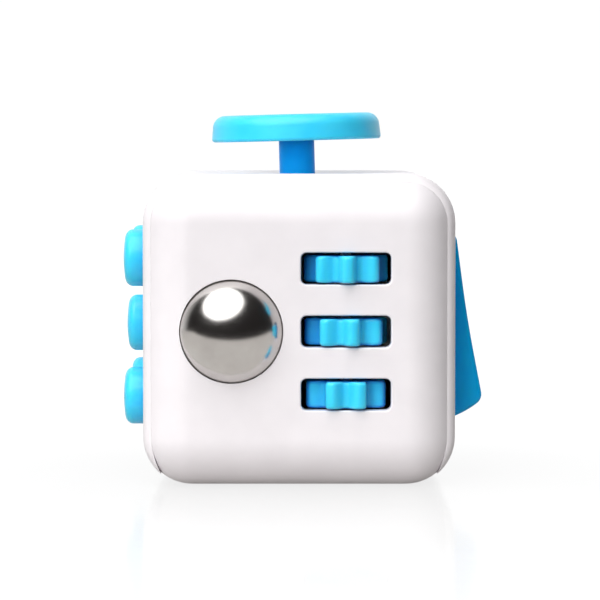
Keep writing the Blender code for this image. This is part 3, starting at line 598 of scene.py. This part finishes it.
def screw_tab(x, lap):
    """A tab of the side shell that reaches behind the dial face for a case screw."""
    wall = CAVITY_HALF - 0.2
    low = CASE_SCREW_Z - TAB_HALF
    step = CAVITY_CEILING - TAB_STEP
    outline = [(TAB_END, low), (wall, low), (wall, step), (lap - POST_SHORT, step)]
    outline += [(lap - POST_SHORT, step + TAB_RISE), (TAB_END, step + TAB_RISE)]
    return extruded("post", outline, "X", x - TAB_HALF, x + TAB_HALF)


def stem_hole():
    """The joystick's hole, its rim rounded over at the height where it meets the dish."""
    sphere = (TOP_DISH_RADIUS**2 + TOP_DISH_DEPTH**2) / (2 * TOP_DISH_DEPTH)
    bottom = BODY - TOP_DISH_DEPTH
    rim_z = bottom + sphere - math.sqrt(sphere**2 - (STEM_HOLE + RIM) ** 2)
    profile = flared(STEM_HOLE, CAVITY_CEILING - OVER, rim_z, 1)
    end = BODY - 0.3
    profile[-2:] = [(profile[-2][0], end), (0, end)]
    return turned("hole", profile, "Z", (0, 0), steps=64)


def side_case():
    """The bridge-shaped moulding: button face, joystick face and rocker face."""
    far = HALF + OVER
    gap = SEAM_GAP / 2
    lap = LAP_WIDTH - gap
    inset = SEAM_INSET - gap
    end = SEAM_END - SEAM_END_GAP
    root = CAVITY_HALF + POST_ROOT
    pivot = middle("rocker_pin")
    shell = rounded_skin("case_sides")
    whole = seam_outline(inset, end, SIDE_STEPS)
    lower = seam_outline(inset, end, SIDE_STEPS, LAP_FLOOR + gap)
    cut(
        shell,
        cavity(),
        extruded("trim", whole, "Y", -far, -lap),
        extruded("trim", whole, "Y", lap, far),
        extruded("trim", lower, "Y", -far, far),
    )
    tidy(shell)
    posts = []
    for side in (-1, 1):
        centre = (0, MID + side * PLATE_SCREW_OFFSET)
        posts.append(rod("post", "X", centre, SIDE_POST, -root, PLATE_OUTER - POST_SHORT))
        centre = (side * HOUSING_SCREW_Y, MID)
        posts.append(rod("post", "X", centre, SIDE_POST, HOUSING_POST_END, root))
        posts.append(screw_tab(side * CASE_SCREW_X, lap))
    fuse(shell, *posts)

    holes = [spherical_dish("dish", "Z", (0, 0), BODY, TOP_DISH_RADIUS, TOP_DISH_DEPTH, 1, 96)]
    holes.append(stem_hole())
    for name in BUTTON_NAMES:
        centre = middle(f"button_{name}")
        profile = flared(BUTTON_HOLE, BUTTON_HOLE_END, -HALF, -1)
        holes.append(turned("hole", profile, "X", (centre.y, centre.z), steps=64))
    radius = ROCKER_END_RADIUS + ROCKER_GAP
    width = ROCKER_HALF_WIDTH + ROCKER_GAP
    opening = arc(pivot.x, MID, radius, OPENING_ANGLE, -OPENING_ANGLE, 48)
    holes.append(extruded("opening", opening, "Y", -width, width))
    height = math.sqrt(radius**2 - (HALF - pivot.x) ** 2)
    holes.append(flared_slot("slot", "X", (width, height), (0, MID), 0.05, HALF - RIM, HALF, 1))
    for side in (-1, 1):
        holes.append(pilot("X", (0, MID + side * PLATE_SCREW_OFFSET), PLATE_PILOT))
        holes.append(pilot("X", (side * HOUSING_SCREW_Y, MID), HOUSING_PILOT))
        holes.append(pilot("Y", (side * CASE_SCREW_X, CASE_SCREW_Z), CASE_PILOT))
        holes.append(pilot("Z", (side * CAGE_SCREW_X, 0), CAGE_PILOT))
    cut(shell, *holes)
    return shell


# ---------------------------------------------------------------- moving pieces


def lobe_radius(angle):
    """The wheel's outline: a row of rounded lobes with steep sides."""
    wave = math.cos(LOBES * angle)
    shaped = wave * (1 + LOBE_STEEPNESS - LOBE_STEEPNESS * wave * wave)
    return (LOBE_TIP + LOBE_ROOT) / 2 + (LOBE_TIP - LOBE_ROOT) / 2 * shaped


def wheel(name):
    """One lobed wheel, its lobes rounded over at the top and bottom."""
    centre = middle(f"roller_{name}")
    axle = middle("roller_axle")
    half = ROLLER_HEIGHT / 2
    # Layers without an inset are the two ends of the bore.
    layers = [(None, -half)] + rounded_ends(half, ROLLER_EDGE) + [(None, half)]
    bm = bmesh.new()
    rows = []
    count = LOBES * LOBE_POINTS
    for inset, height in layers:
        row = []
        for k in range(count):
            angle = 2 * math.pi * k / count
            radius = ROLLER_BORE if inset is None else lobe_radius(angle) - inset
            heading = angle + math.radians(ROLLER_TURNS[name])
            x = axle.x + radius * math.sin(heading)
            y = axle.y - radius * math.cos(heading)
            row.append(bm.verts.new((x, y, centre.z - ROLLER_DROP + height)))
        rows.append(row)
    for low, high in zip(rows, rows[1:] + rows[:1]):
        for k in range(count):
            j = (k + 1) % count
            bm.faces.new((low[k], high[k], high[j], low[j]))
    return finish_mesh(f"wheel_{name}", bm, origin=(axle.x, axle.y, centre.z))


def steel_ball():
    centre = middle("roller_ball")
    profile = [(0, centre.y - BALL_RADIUS)]
    profile += arc(0, centre.y, BALL_RADIUS, -87, 87, 58)
    profile += [(0, centre.y + BALL_RADIUS)]
    return turned("steel_ball", profile, "Y", (centre.x, centre.z), steps=112, origin=centre)


def button_cap(name):
    """A round cap with a full round edge and a faintly crowned top."""
    centre = middle(f"button_{name}")
    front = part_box(f"button_{name}")[0].x / MM
    flat = BUTTON_RADIUS - BUTTON_EDGE
    profile = [(0, front)]
    for k in range(1, 7):
        r = flat * k / 6
        profile.append((r, front + BUTTON_CROWN * (r / flat) ** 2))
    shoulder = front + BUTTON_CROWN
    for k in range(1, 11):
        a = math.radians(90 * k / 10)
        radius = flat + BUTTON_EDGE * math.sin(a)
        profile.append((radius, shoulder + (BUTTON_EDGE - BUTTON_CROWN) * (1 - math.cos(a))))
    profile += [(BUTTON_RADIUS, BUTTON_BACK), (BUTTON_FLANGE, BUTTON_BACK)]
    profile += [(BUTTON_FLANGE, BUTTON_FLANGE_END), (BUTTON_STEM, BUTTON_FLANGE_END)]
    profile += [(BUTTON_STEM, BUTTON_STEM_END), (0, BUTTON_STEM_END)]
    origin = (BUTTON_BACK, centre.y, centre.z)
    return turned(f"cap_{name}", profile, "X", (centre.y, centre.z), steps=72, origin=origin)


def joystick_pad():
    """The thumb disc, shallowly dished on top."""
    pivot = middle("gimbal_ring")
    inset = DISC_RADIUS - DISC_TAPER - DISC_TOP_EDGE
    profile = [(0, DISC_TOP - DISC_DISH)]
    for k in range(1, 12):
        r = inset * k / 12
        profile.append((r, DISC_TOP - DISC_DISH * (1 - (r / inset) ** 2) ** 1.5))
    profile += arc(inset, DISC_TOP - DISC_TOP_EDGE, DISC_TOP_EDGE, 90, 0, 10)
    inset = DISC_RADIUS - DISC_BOTTOM_EDGE
    profile += arc(inset, DISC_BOTTOM + DISC_BOTTOM_EDGE, DISC_BOTTOM_EDGE, 0, -90, 6)
    socket = DISC_BOTTOM + SOCKET_DEPTH
    profile += [(SOCKET_RADIUS, DISC_BOTTOM), (SOCKET_RADIUS, socket), (0, socket)]
    return turned("joystick_pad", profile, "Z", (0, 0), 144, origin=pivot, lean=STICK_LEAN)


def joystick_post():
    """The stem, with the ball-shaped swivel below it and its two trunnions."""
    pivot = middle("gimbal_ring")
    flat = pivot.z - SWIVEL_FLAT
    low = math.degrees(math.asin((flat - pivot.z) / SWIVEL_RADIUS))
    high = math.degrees(math.acos(STEM_RADIUS / SWIVEL_RADIUS))
    profile = [(0, TAIL_END), (TAIL_RADIUS, TAIL_END), (TAIL_RADIUS, flat)]
    profile += arc(0, pivot.z, SWIVEL_RADIUS, low, high, 14)
    profile += [(STEM_RADIUS, STEM_TOP), (SPIGOT_RADIUS, STEM_TOP)]
    profile += [(SPIGOT_RADIUS, SPIGOT_TOP), (0, SPIGOT_TOP)]
    post = turned("joystick_post", profile, "Z", (0, 0), 72, origin=pivot, lean=STICK_LEAN)
    fuse(post, rod("trunnions", "Y", (0, pivot.z), TRUNNION, -TRUNNION_REACH, TRUNNION_REACH))
    return post


def rocker_outline():
    """The rocker's side view, upright: a hollow face, round ends and a hub round the pin."""
    slope = math.radians(ROCKER_HOLLOW)
    rise = math.tan(slope)
    # The face's line, a corner radius further in, meets the circle that the corner rolls inside.
    base = ROCKER_FACE - ROCKER_CORNER / math.cos(slope)
    reach = ROCKER_END_RADIUS - ROCKER_CORNER
    z = (math.sqrt(reach**2 * (1 + rise**2) - base**2) - base * rise) / (1 + rise**2)
    corner = (base + z * rise, z)
    half = [(ROCKER_FACE + HOLLOW_BLEND, 0.0)]
    # The hollow turns smoothly about its middle.
    for k in range(1, 6):
        z = HOLLOW_REACH * k / 5
        blend = HOLLOW_BLEND * (1 - z / HOLLOW_REACH) ** 2
        half.append((ROCKER_FACE + z * rise + blend, z))
    end = math.degrees(math.atan2(corner[1], corner[0]))
    half += arc(*corner, ROCKER_CORNER, -ROCKER_HOLLOW, end, 16)
    last = math.degrees(math.acos(ROCKER_BACK[0][0] / ROCKER_END_RADIUS))
    half += arc(0, 0, ROCKER_END_RADIUS, end, last, 12)[1:]
    half += ROCKER_BACK
    return half + [(x, -z) for x, z in reversed(half[1:])]


def rocker_cap():
    """The rocker, its long edges rounded over."""
    pivot = middle("rocker_pin")
    turn = math.radians(-ROCKER_TILT)
    outline = []
    upright = rocker_outline()
    for x, z in upright:
        tilted_x = x * math.cos(turn) + z * math.sin(turn)
        tilted_z = -x * math.sin(turn) + z * math.cos(turn)
        outline.append((pivot.x + tilted_x, MID + tilted_z))
    layers = []
    for inset, along in rounded_ends(ROCKER_HALF_WIDTH, ROCKER_EDGE):
        # The hub side stays full width.
        rounded = [math.hypot(x, z) > HUB_REACH or x > HUB_FRONT for x, z in upright]
        amounts = [inset if edge else 0.0 for edge in rounded]
        layers.append((inset_outline(outline, amounts), along))
    cap = lofted("rocker_cap", layers, "Y", origin=(pivot.x, 0, MID))
    cut(cap, rod("bore", "Y", (pivot.x, MID), ROCKER_BORE, -7.0, 7.0))
    return cap


def dial_face():
    """The spin dial with its finger dimple and the socket for its plug."""
    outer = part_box("spin_dial")[1].y / MM
    seat = DIAL_INNER + PLUG_SEAT
    back, front = DIAL_BACK_EDGE, DIAL_FRONT_EDGE
    profile = [(DIAL_BORE, DIAL_INNER)]
    profile += arc(DIAL_RADIUS - back, DIAL_INNER + back, back, -90, 0, 4)
    profile += arc(DIAL_RADIUS - front, outer - front, front, 0, 90, 9)
    profile += [(DIAL_FLAT, outer), (PLUG_HOLE + 0.1, outer), (PLUG_HOLE, outer - 0.1)]
    profile += [(PLUG_HOLE, seat), (DIAL_BORE, seat)]
    dial = turned("dial_face", profile, "Y", (0, MID), 144, ring=True, origin=(0, HALF, MID))
    centre = (0, MID + DIMPLE_OFFSET)
    cut(dial, spherical_dish("dimple", "Y", centre, outer, DIMPLE_RADIUS, DIMPLE_DEPTH, 1, 56, 10))
    return dial


def dial_plug():
    """The small cap over the dial's screw, faintly crowned."""
    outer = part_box("spin_dial")[1].y / MM
    profile = [(0, PLUG_BACK), (PLUG_RADIUS, PLUG_BACK), (PLUG_RADIUS, outer - 0.15)]
    profile += arc(PLUG_RADIUS - PLUG_EDGE, outer - PLUG_EDGE, PLUG_EDGE, 15, 90, 5)
    profile += [(1.8, outer + 0.02), (0.9, outer + 0.04), (0, outer + 0.05)]
    return turned("dial_plug", profile, "Y", (0, MID), 72, origin=(0, HALF, MID))


# ---------------------------------------------------------------- materials


def node(tree, kind, **settings):
    """A new shader node with the given settings."""
    made = tree.nodes.new(kind)
    for name, value in settings.items():
        setattr(made, name, value)
    return made


def wire(tree, a, b):
    tree.links.new(a, b)


def noise(tree, scale, detail=3.0, roughness=0.5, stretch=None):
    """Noise in the object's own space, in metres, so it travels with the piece."""
    where = node(tree, "ShaderNodeTexCoord").outputs["Object"]
    if stretch is not None:
        mapping = node(tree, "ShaderNodeMapping")
        mapping.inputs["Scale"].default_value = stretch
        wire(tree, where, mapping.inputs["Vector"])
        where = mapping.outputs["Vector"]
    made = node(tree, "ShaderNodeTexNoise")
    made.inputs["Scale"].default_value = scale
    made.inputs["Detail"].default_value = detail
    made.inputs["Roughness"].default_value = roughness
    wire(tree, where, made.inputs["Vector"])
    return made.outputs["Fac"]


def spread(tree, value, low, high, from_low=0.3, from_high=0.7):
    """Map a noise value to a range."""
    made = node(tree, "ShaderNodeMapRange")
    made.inputs["From Min"].default_value = from_low
    made.inputs["From Max"].default_value = from_high
    made.inputs["To Min"].default_value = low
    made.inputs["To Max"].default_value = high
    wire(tree, value, made.inputs["Value"])
    return made.outputs["Result"]


def blend_colours(tree, factor, first, second):
    made = node(tree, "ShaderNodeMix", data_type="RGBA")
    wire(tree, factor, made.inputs["Factor"])
    for socket, colour in ((made.inputs[6], first), (made.inputs[7], second)):
        if isinstance(colour, tuple):
            socket.default_value = (*colour, 1.0)
        else:
            wire(tree, colour, socket)
    return made.outputs[2]


def worn_edges(tree, radius, strength):
    """How much a surface turns within a small radius: near 0 on flats, up to strength on edges."""
    soft = node(tree, "ShaderNodeBevel", samples=4)
    soft.inputs["Radius"].default_value = radius
    true = node(tree, "ShaderNodeNewGeometry")
    dot = node(tree, "ShaderNodeVectorMath", operation="DOT_PRODUCT")
    wire(tree, soft.outputs["Normal"], dot.inputs[0])
    wire(tree, true.outputs["Normal"], dot.inputs[1])
    return spread(tree, dot.outputs["Value"], strength, 0.0, 0.8, 0.995)


def bumps(tree, shader, height, distance, strength=1.0):
    made = node(tree, "ShaderNodeBump")
    made.inputs["Strength"].default_value = strength
    made.inputs["Distance"].default_value = distance
    wire(tree, height, made.inputs["Height"])
    wire(tree, made.outputs["Normal"], shader.inputs["Normal"])


def new_material(name):
    made = bpy.data.materials.new(name)
    made.use_nodes = True
    return made, made.node_tree, made.node_tree.nodes["Principled BSDF"]


def recess_shade_mask(tree, reach):
    """How deep a surface lies in a recess, as the mask for painted shade: 0 in the open, 1 in a
    corner.
    """
    made = node(tree, "ShaderNodeAmbientOcclusion", samples=8)
    made.inputs["Distance"].default_value = reach
    return spread(tree, made.outputs["AO"], 1.0, 0.0, 0.1, 0.8)


def moulded(name, light, dark, worn, rough, grain, specular=0.5, deep=None):
    """Moulded plastic: slow colour drift, a spark-eroded grain and paler, smoother rubbed edges
    whose paler colour is partly a painted highlight. Tinted kinds also get painted shade in
    recesses.
    """
    made, tree, shader = new_material(name)
    drift = spread(tree, noise(tree, 260, 2.0), 0.0, 1.0)
    colour = blend_colours(tree, drift, light, dark)
    # Rubbed edges: real wear, paler and smoother, and partly a painted highlight along the edges.
    edge = worn_edges(tree, 0.00025, 0.6)
    rub_and_sheen = node(tree, "ShaderNodeMath", operation="MULTIPLY")
    wire(tree, edge, rub_and_sheen.inputs[0])
    wire(tree, spread(tree, noise(tree, 1800, 4.0), 0.2, 1.0), rub_and_sheen.inputs[1])
    colour = blend_colours(tree, rub_and_sheen.outputs[0], colour, worn)
    if deep is not None:
        # Painted shade: the colour turns deeper in recesses and corners. Tinted plastic also lets
        # light through, so it scatters under the surface.
        colour = blend_colours(tree, recess_shade_mask(tree, 0.003), colour, deep)
        shader.inputs["Subsurface Weight"].default_value = 0.3
        shader.inputs["Subsurface Scale"].default_value = 0.001
        shader.inputs["Subsurface Radius"].default_value = (0.2, 0.6, 1.5)
    wire(tree, colour, shader.inputs["Base Color"])
    patch = spread(tree, noise(tree, 700, 4.0, 0.6), rough - 0.04, rough + 0.05)
    smooth = node(tree, "ShaderNodeMath", operation="MULTIPLY_ADD")
    wire(tree, rub_and_sheen.outputs[0], smooth.inputs[0])
    smooth.inputs[1].default_value = -0.12
    wire(tree, patch, smooth.inputs[2])
    wire(tree, smooth.outputs[0], shader.inputs["Roughness"])
    shader.inputs["Specular IOR Level"].default_value = specular
    bumps(tree, shader, noise(tree, 5200, 3.0, 0.6), 0.000006 * grain)
    return made


def polished(name, light, dark, rough):
    """Polished steel: a faint cloudiness and hair-fine polishing marks."""
    made, tree, shader = new_material(name)
    shader.inputs["Metallic"].default_value = 1.0
    cloud = spread(tree, noise(tree, 420, 3.0), 0.0, 1.0)
    wire(tree, blend_colours(tree, cloud, light, dark), shader.inputs["Base Color"])
    marks = noise(tree, 900, 5.0, 0.7, stretch=(1.0, 1.0, 14.0))
    wire(tree, spread(tree, marks, rough - 0.02, rough + 0.05), shader.inputs["Roughness"])
    bumps(tree, shader, noise(tree, 2600, 4.0, 0.6), 0.0000006)
    return made


def brushed(name, light, dark, worn):
    """Plated steel: drawn streaks, darker patches and bright rubbed edges."""
    made, tree, shader = new_material(name)
    shader.inputs["Metallic"].default_value = 1.0
    streak = noise(tree, 1400, 4.0, 0.6, stretch=(1.0, 1.0, 9.0))
    colour = blend_colours(tree, spread(tree, streak, 0.0, 1.0), light, dark)
    edge = worn_edges(tree, 0.00015, 0.7)
    wire(tree, blend_colours(tree, edge, colour, worn), shader.inputs["Base Color"])
    wire(tree, spread(tree, noise(tree, 2200, 3.0), 0.22, 0.4), shader.inputs["Roughness"])
    bumps(tree, shader, streak, 0.000004)
    return made


def make_materials():
    made = {}
    made["white_plastic"] = moulded(
        "white_abs", (0.875, 0.838, 0.86), (0.84, 0.804, 0.826), (0.9, 0.88, 0.89), 0.36, 1.0
    )
    # The blue's pale edge colour is partly a painted highlight, and its deep colour is painted
    # shade for recesses.
    made["blue_plastic"] = moulded(
        "blue_abs", (0.06, 0.70, 0.99), (0.04, 0.64, 0.97), (0.22, 0.78, 0.99), 0.33, 1.0,
        specular=0.45, deep=(0.0, 0.16, 0.62),
    )
    # The rocker gets a darker, bluer copy of the blue plastic: painted shade for its side, which
    # the case keeps from the lamps.
    made["rocker_blue_plastic"] = moulded(
        "rocker_painted_shade_abs", (0.0, 0.50, 1.0), (0.0, 0.46, 0.98), (0.05, 0.60, 1.0), 0.36, 1.0,
        specular=0.25, deep=(0.0, 0.20, 0.9),
    )
    # The stem's blue is darker, partly its own tone and partly painted shade for the shadow under
    # the disc; its deep colour is painted shade for recesses.
    made["stem_blue_plastic"] = moulded(
        "stem_blue", (0.0, 0.43, 0.99), (0.0, 0.38, 0.95), (0.03, 0.48, 0.97), 0.42, 1.2,
        specular=0.2, deep=(0.0, 0.07, 0.35),
    )
    made["polished_steel"] = polished("ball_steel", (0.63, 0.61, 0.59), (0.56, 0.54, 0.52), 0.17)
    made["plated_steel"] = brushed(
        "plated_steel_finish", (0.60, 0.60, 0.61), (0.46, 0.46, 0.47), (0.75, 0.75, 0.75)
    )
    made["silicone_rubber"] = moulded(
        "rubber", (0.05, 0.05, 0.055), (0.035, 0.035, 0.04), (0.12, 0.12, 0.12), 0.72, 2.5, 0.3
    )
    made["inner_plastic"] = moulded(
        "inner_abs", (0.80, 0.79, 0.77), (0.74, 0.73, 0.71), (0.85, 0.85, 0.84), 0.5, 2.0, 0.4
    )
    return made


# ---------------------------------------------------------------- assembly


# Edges that turn further than this many degrees stay sharp, and the lobes are steep but smooth.
SHARP_ANGLE = 32
LOBE_SHARP_ANGLE = 50


def dress(piece, body, slot, nodes, materials, angle=SHARP_ANGLE, finish=None):
    """Shade a piece, give it its finish, and hand it to the frame in place of its CAD nodes.

    A finish of its own takes the place of its slot's.
    """
    mesh = piece.data
    mesh.materials.clear()
    mesh.materials.append(materials[finish or slot])
    mesh.polygons.foreach_set("material_index", [0] * len(mesh.polygons))
    mesh.shade_smooth()
    mesh.set_sharp_from_angle(angle=math.radians(angle))
    even = piece.modifiers.new("even_normals", "WEIGHTED_NORMAL")
    even.mode = "FACE_AREA"
    even.weight = 80
    even.keep_sharp = True
    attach(piece, body)
    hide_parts(*nodes)


def make_pieces(materials):
    for shell, source in ((front_case(), "front_shell"), (side_case(), "side_shell")):
        tidy(shell)
        dress(shell, "case", "white_plastic", [source], materials)
    blue = "blue_plastic"
    for name in ROLLER_TURNS:
        nodes = [f"roller_{name}"]
        dress(wheel(name), f"{name}_roller", blue, nodes, materials, LOBE_SHARP_ANGLE)
    dress(steel_ball(), "ball", "polished_steel", ["roller_ball"], materials)
    for name in BUTTON_NAMES:
        nodes = [f"button_{name}"]
        dress(button_cap(name), f"button_{name}_cap", blue, nodes, materials)
    dress(joystick_pad(), "joystick", blue, ["joystick_disc"], materials)
    dress(joystick_post(), "joystick", "stem_blue_plastic", ["joystick_stem"], materials)
    rocker = rocker_cap()
    # The rocker's finish is the blue plastic's copy with painted shade.
    dress(rocker, "rocker_switch", blue, ["rocker"], materials, finish="rocker_blue_plastic")
    dress(dial_face(), "dial", blue, ["spin_dial"], materials)
    dress(dial_plug(), "dial", blue, ["dial_cap"], materials)


def finish_frame(materials):
    """Give every CAD node that stays its detailed finish."""
    slots = {}
    for part in frame["record"]["subparts"]:
        slots[part["node"]] = part["material_slot"]
    for name, held in frame["nodes"].items():
        if slots.get(name) in materials:
            held.data.materials.clear()
            held.data.materials.append(materials[slots[name]])


# ---------------------------------------------------------------- stage

# In metres and watts, each lamp's place measured from the middle of the case
KEY_PLACE = 0.6 * Vector((-0.27, -0.46, 0.846))
KEY_POWER = 5.6
KEY_RADIUS = 0.436
FRONT_PLACE = Vector((-0.45, -1.0, 0.22))
FRONT_POWER = 6.0
FRONT_RADIUS = 0.31
REAR_PLACE = Vector((0.4, 0.95, 0.4))
REAR_POWER = 5.0
REAR_RADIUS = 0.3
CAMERA_PLACE = (0.0001, -0.3515, 0.0378)
CAMERA_DIP = 3.07
CAMERA_LENS = 192.6
TABLE_REACH = 1.5
TABLE_DROP = 0.00001
TABLE_MIRROR = 0.2
WORLD_FILL = 0.02
BACKDROP = 1.02


def sheet_of(name, low, high, height, finish):
    """A flat rectangle of the stage."""
    bm = bmesh.new()
    corners = ((low[0], low[1]), (high[0], low[1]), (high[0], high[1]), (low[0], high[1]))
    bm.faces.new([bm.verts.new((x, y, height)) for x, y in corners])
    mesh = bpy.data.meshes.new(name)
    bm.to_mesh(mesh)
    bm.free()
    mesh.materials.append(finish)
    made = bpy.data.objects.new(name, mesh)
    bpy.context.scene.collection.objects.link(made)
    return made


def table():
    """A pale glossy table top that the camera sees, and a dimmer sheet that lights the object."""
    table_top()
    table_bounce()


def table_top():
    made, tree, shader = new_material("table_top")
    tree.nodes.remove(shader)
    glow = node(tree, "ShaderNodeEmission")
    # Painted shade: the table's glow is dimmer near the object and brighter away from it, and away
    # from the object it is also less of a mirror, so its image fades out.
    reach = node(tree, "ShaderNodeVectorMath", operation="LENGTH")
    wire(tree, node(tree, "ShaderNodeTexCoord").outputs["Object"], reach.inputs[0])
    distance = reach.outputs["Value"]
    wire(tree, spread(tree, distance, 0.97, 1.09, 0.018, 0.07), glow.inputs["Strength"])
    matt = node(tree, "ShaderNodeBsdfDiffuse")
    soft = spread(tree, noise(tree, 40, 3.0), 0.0, 1.0)
    grey = blend_colours(tree, soft, (0.05, 0.05, 0.05), (0.04, 0.04, 0.04))
    wire(tree, grey, matt.inputs["Color"])
    both = node(tree, "ShaderNodeAddShader")
    wire(tree, glow.outputs[0], both.inputs[0])
    wire(tree, matt.outputs[0], both.inputs[1])
    mirror = node(tree, "ShaderNodeBsdfGlossy")
    wire(tree, spread(tree, noise(tree, 300, 3.0), 0.10, 0.14), mirror.inputs["Roughness"])
    mixed = node(tree, "ShaderNodeMixShader")
    wire(tree, spread(tree, distance, TABLE_MIRROR, 0.0, 0.06, 0.2), mixed.inputs[0])
    wire(tree, both.outputs[0], mixed.inputs[1])
    wire(tree, mirror.outputs[0], mixed.inputs[2])
    wire(tree, mixed.outputs[0], tree.nodes["Material Output"].inputs["Surface"])
    corner = (TABLE_REACH, TABLE_REACH)
    seen = sheet_of("table", (-TABLE_REACH, -TABLE_REACH), corner, -TABLE_DROP, made)
    seen.visible_diffuse = False
    seen.visible_glossy = False
    seen.visible_shadow = False


def table_bounce():
    made, tree, shader = new_material("table_bounce")
    soft = spread(tree, noise(tree, 40, 3.0), 0.0, 1.0)
    grey = blend_colours(tree, soft, (0.34, 0.33, 0.32), (0.32, 0.31, 0.30))
    wire(tree, grey, shader.inputs["Base Color"])
    wire(tree, spread(tree, noise(tree, 300, 3.0), 0.8, 0.9), shader.inputs["Roughness"])
    shader.inputs["Specular IOR Level"].default_value = 0.1
    # A faint glow keeps the contact shadow open; polished pieces see the sheet brighter still.
    shader.inputs["Emission Color"].default_value = (1.0, 0.97, 0.94, 1.0)
    gain = node(tree, "ShaderNodeMath", operation="MULTIPLY_ADD")
    wire(tree, node(tree, "ShaderNodeLightPath").outputs["Is Glossy Ray"], gain.inputs[0])
    gain.inputs[1].default_value = 0.3
    gain.inputs[2].default_value = 0.1
    wire(tree, gain.outputs[0], shader.inputs["Emission Strength"])
    bounce = sheet_of("table_bounce", (-0.5, -0.072), (0.5, 0.6), -2 * TABLE_DROP, made)
    bounce.visible_camera = False


def softbox(name, power, radius, where, target):
    """A round lamp that faces a point."""
    lamp = bpy.data.lights.new(name, "AREA")
    lamp.shape = "DISK"
    lamp.size = 2 * radius
    lamp.energy = power
    made = bpy.data.objects.new(name, lamp)
    made.location = where
    aim = target - where
    made.rotation_mode = "QUATERNION"
    made.rotation_quaternion = aim.to_track_quat("-Z", "Y")
    bpy.context.scene.collection.objects.link(made)
    return made


def surroundings():
    """A white backdrop for the camera, a dim room in front for reflections and a little fill."""
    world = bpy.data.worlds.new("studio")
    bpy.context.scene.world = world
    world.use_nodes = True
    tree = world.node_tree
    for old in list(tree.nodes):
        tree.nodes.remove(old)
    path = node(tree, "ShaderNodeLightPath")
    fill = node(tree, "ShaderNodeBackground")
    fill.inputs["Color"].default_value = (0.97, 0.98, 1.0, 1.0)
    fill.inputs["Strength"].default_value = WORLD_FILL
    # Reflections see the white paper behind and the dark room in front.
    heading = node(tree, "ShaderNodeSeparateXYZ")
    wire(tree, node(tree, "ShaderNodeTexCoord").outputs["Generated"], heading.inputs[0])
    behind = spread(tree, heading.outputs["Y"], 0.0, 1.0, 0.15, 0.5)
    room = node(tree, "ShaderNodeBackground")
    grey = blend_colours(tree, behind, (0.022, 0.02, 0.02), (1.0, 1.0, 1.0))
    wire(tree, grey, room.inputs["Color"])
    white = node(tree, "ShaderNodeBackground")
    white.inputs["Color"].default_value = (1.0, 1.0, 1.0, 1.0)
    white.inputs["Strength"].default_value = BACKDROP
    first = node(tree, "ShaderNodeMixShader")
    wire(tree, path.outputs["Is Glossy Ray"], first.inputs[0])
    wire(tree, fill.outputs[0], first.inputs[1])
    wire(tree, room.outputs[0], first.inputs[2])
    second = node(tree, "ShaderNodeMixShader")
    wire(tree, path.outputs["Is Camera Ray"], second.inputs[0])
    wire(tree, first.outputs[0], second.inputs[1])
    wire(tree, white.outputs[0], second.inputs[2])
    out = node(tree, "ShaderNodeOutputWorld")
    wire(tree, second.outputs[0], out.inputs["Surface"])


def camera():
    """A long lens in front, a little above the case and looking slightly down."""
    data = bpy.data.cameras.new("camera")
    data.lens = CAMERA_LENS
    data.sensor_width = 36.0
    data.clip_start, data.clip_end = 0.01, 10.0
    made = bpy.data.objects.new("camera", data)
    made.location = CAMERA_PLACE
    made.rotation_euler = (math.radians(90 - CAMERA_DIP), 0, 0)
    bpy.context.scene.collection.objects.link(made)
    bpy.context.scene.camera = made


def lights():
    """A big round softbox above and to the left, with broad fills in front and behind."""
    centre = Vector((0, 0, MID * MM))
    softbox("key", KEY_POWER, KEY_RADIUS, centre + KEY_PLACE, centre)
    front = softbox("front_fill", FRONT_POWER, FRONT_RADIUS, centre + FRONT_PLACE, centre)
    rear = softbox("rear_fill", REAR_POWER, REAR_RADIUS, centre + REAR_PLACE, centre)
    # Polished pieces mirror the key alone.
    front.visible_glossy = False
    rear.visible_glossy = False


materials = make_materials()
make_pieces(materials)
finish_frame(materials)
table()
surroundings()
camera()
lights()
bpy.context.scene.view_settings.view_transform = "Standard"
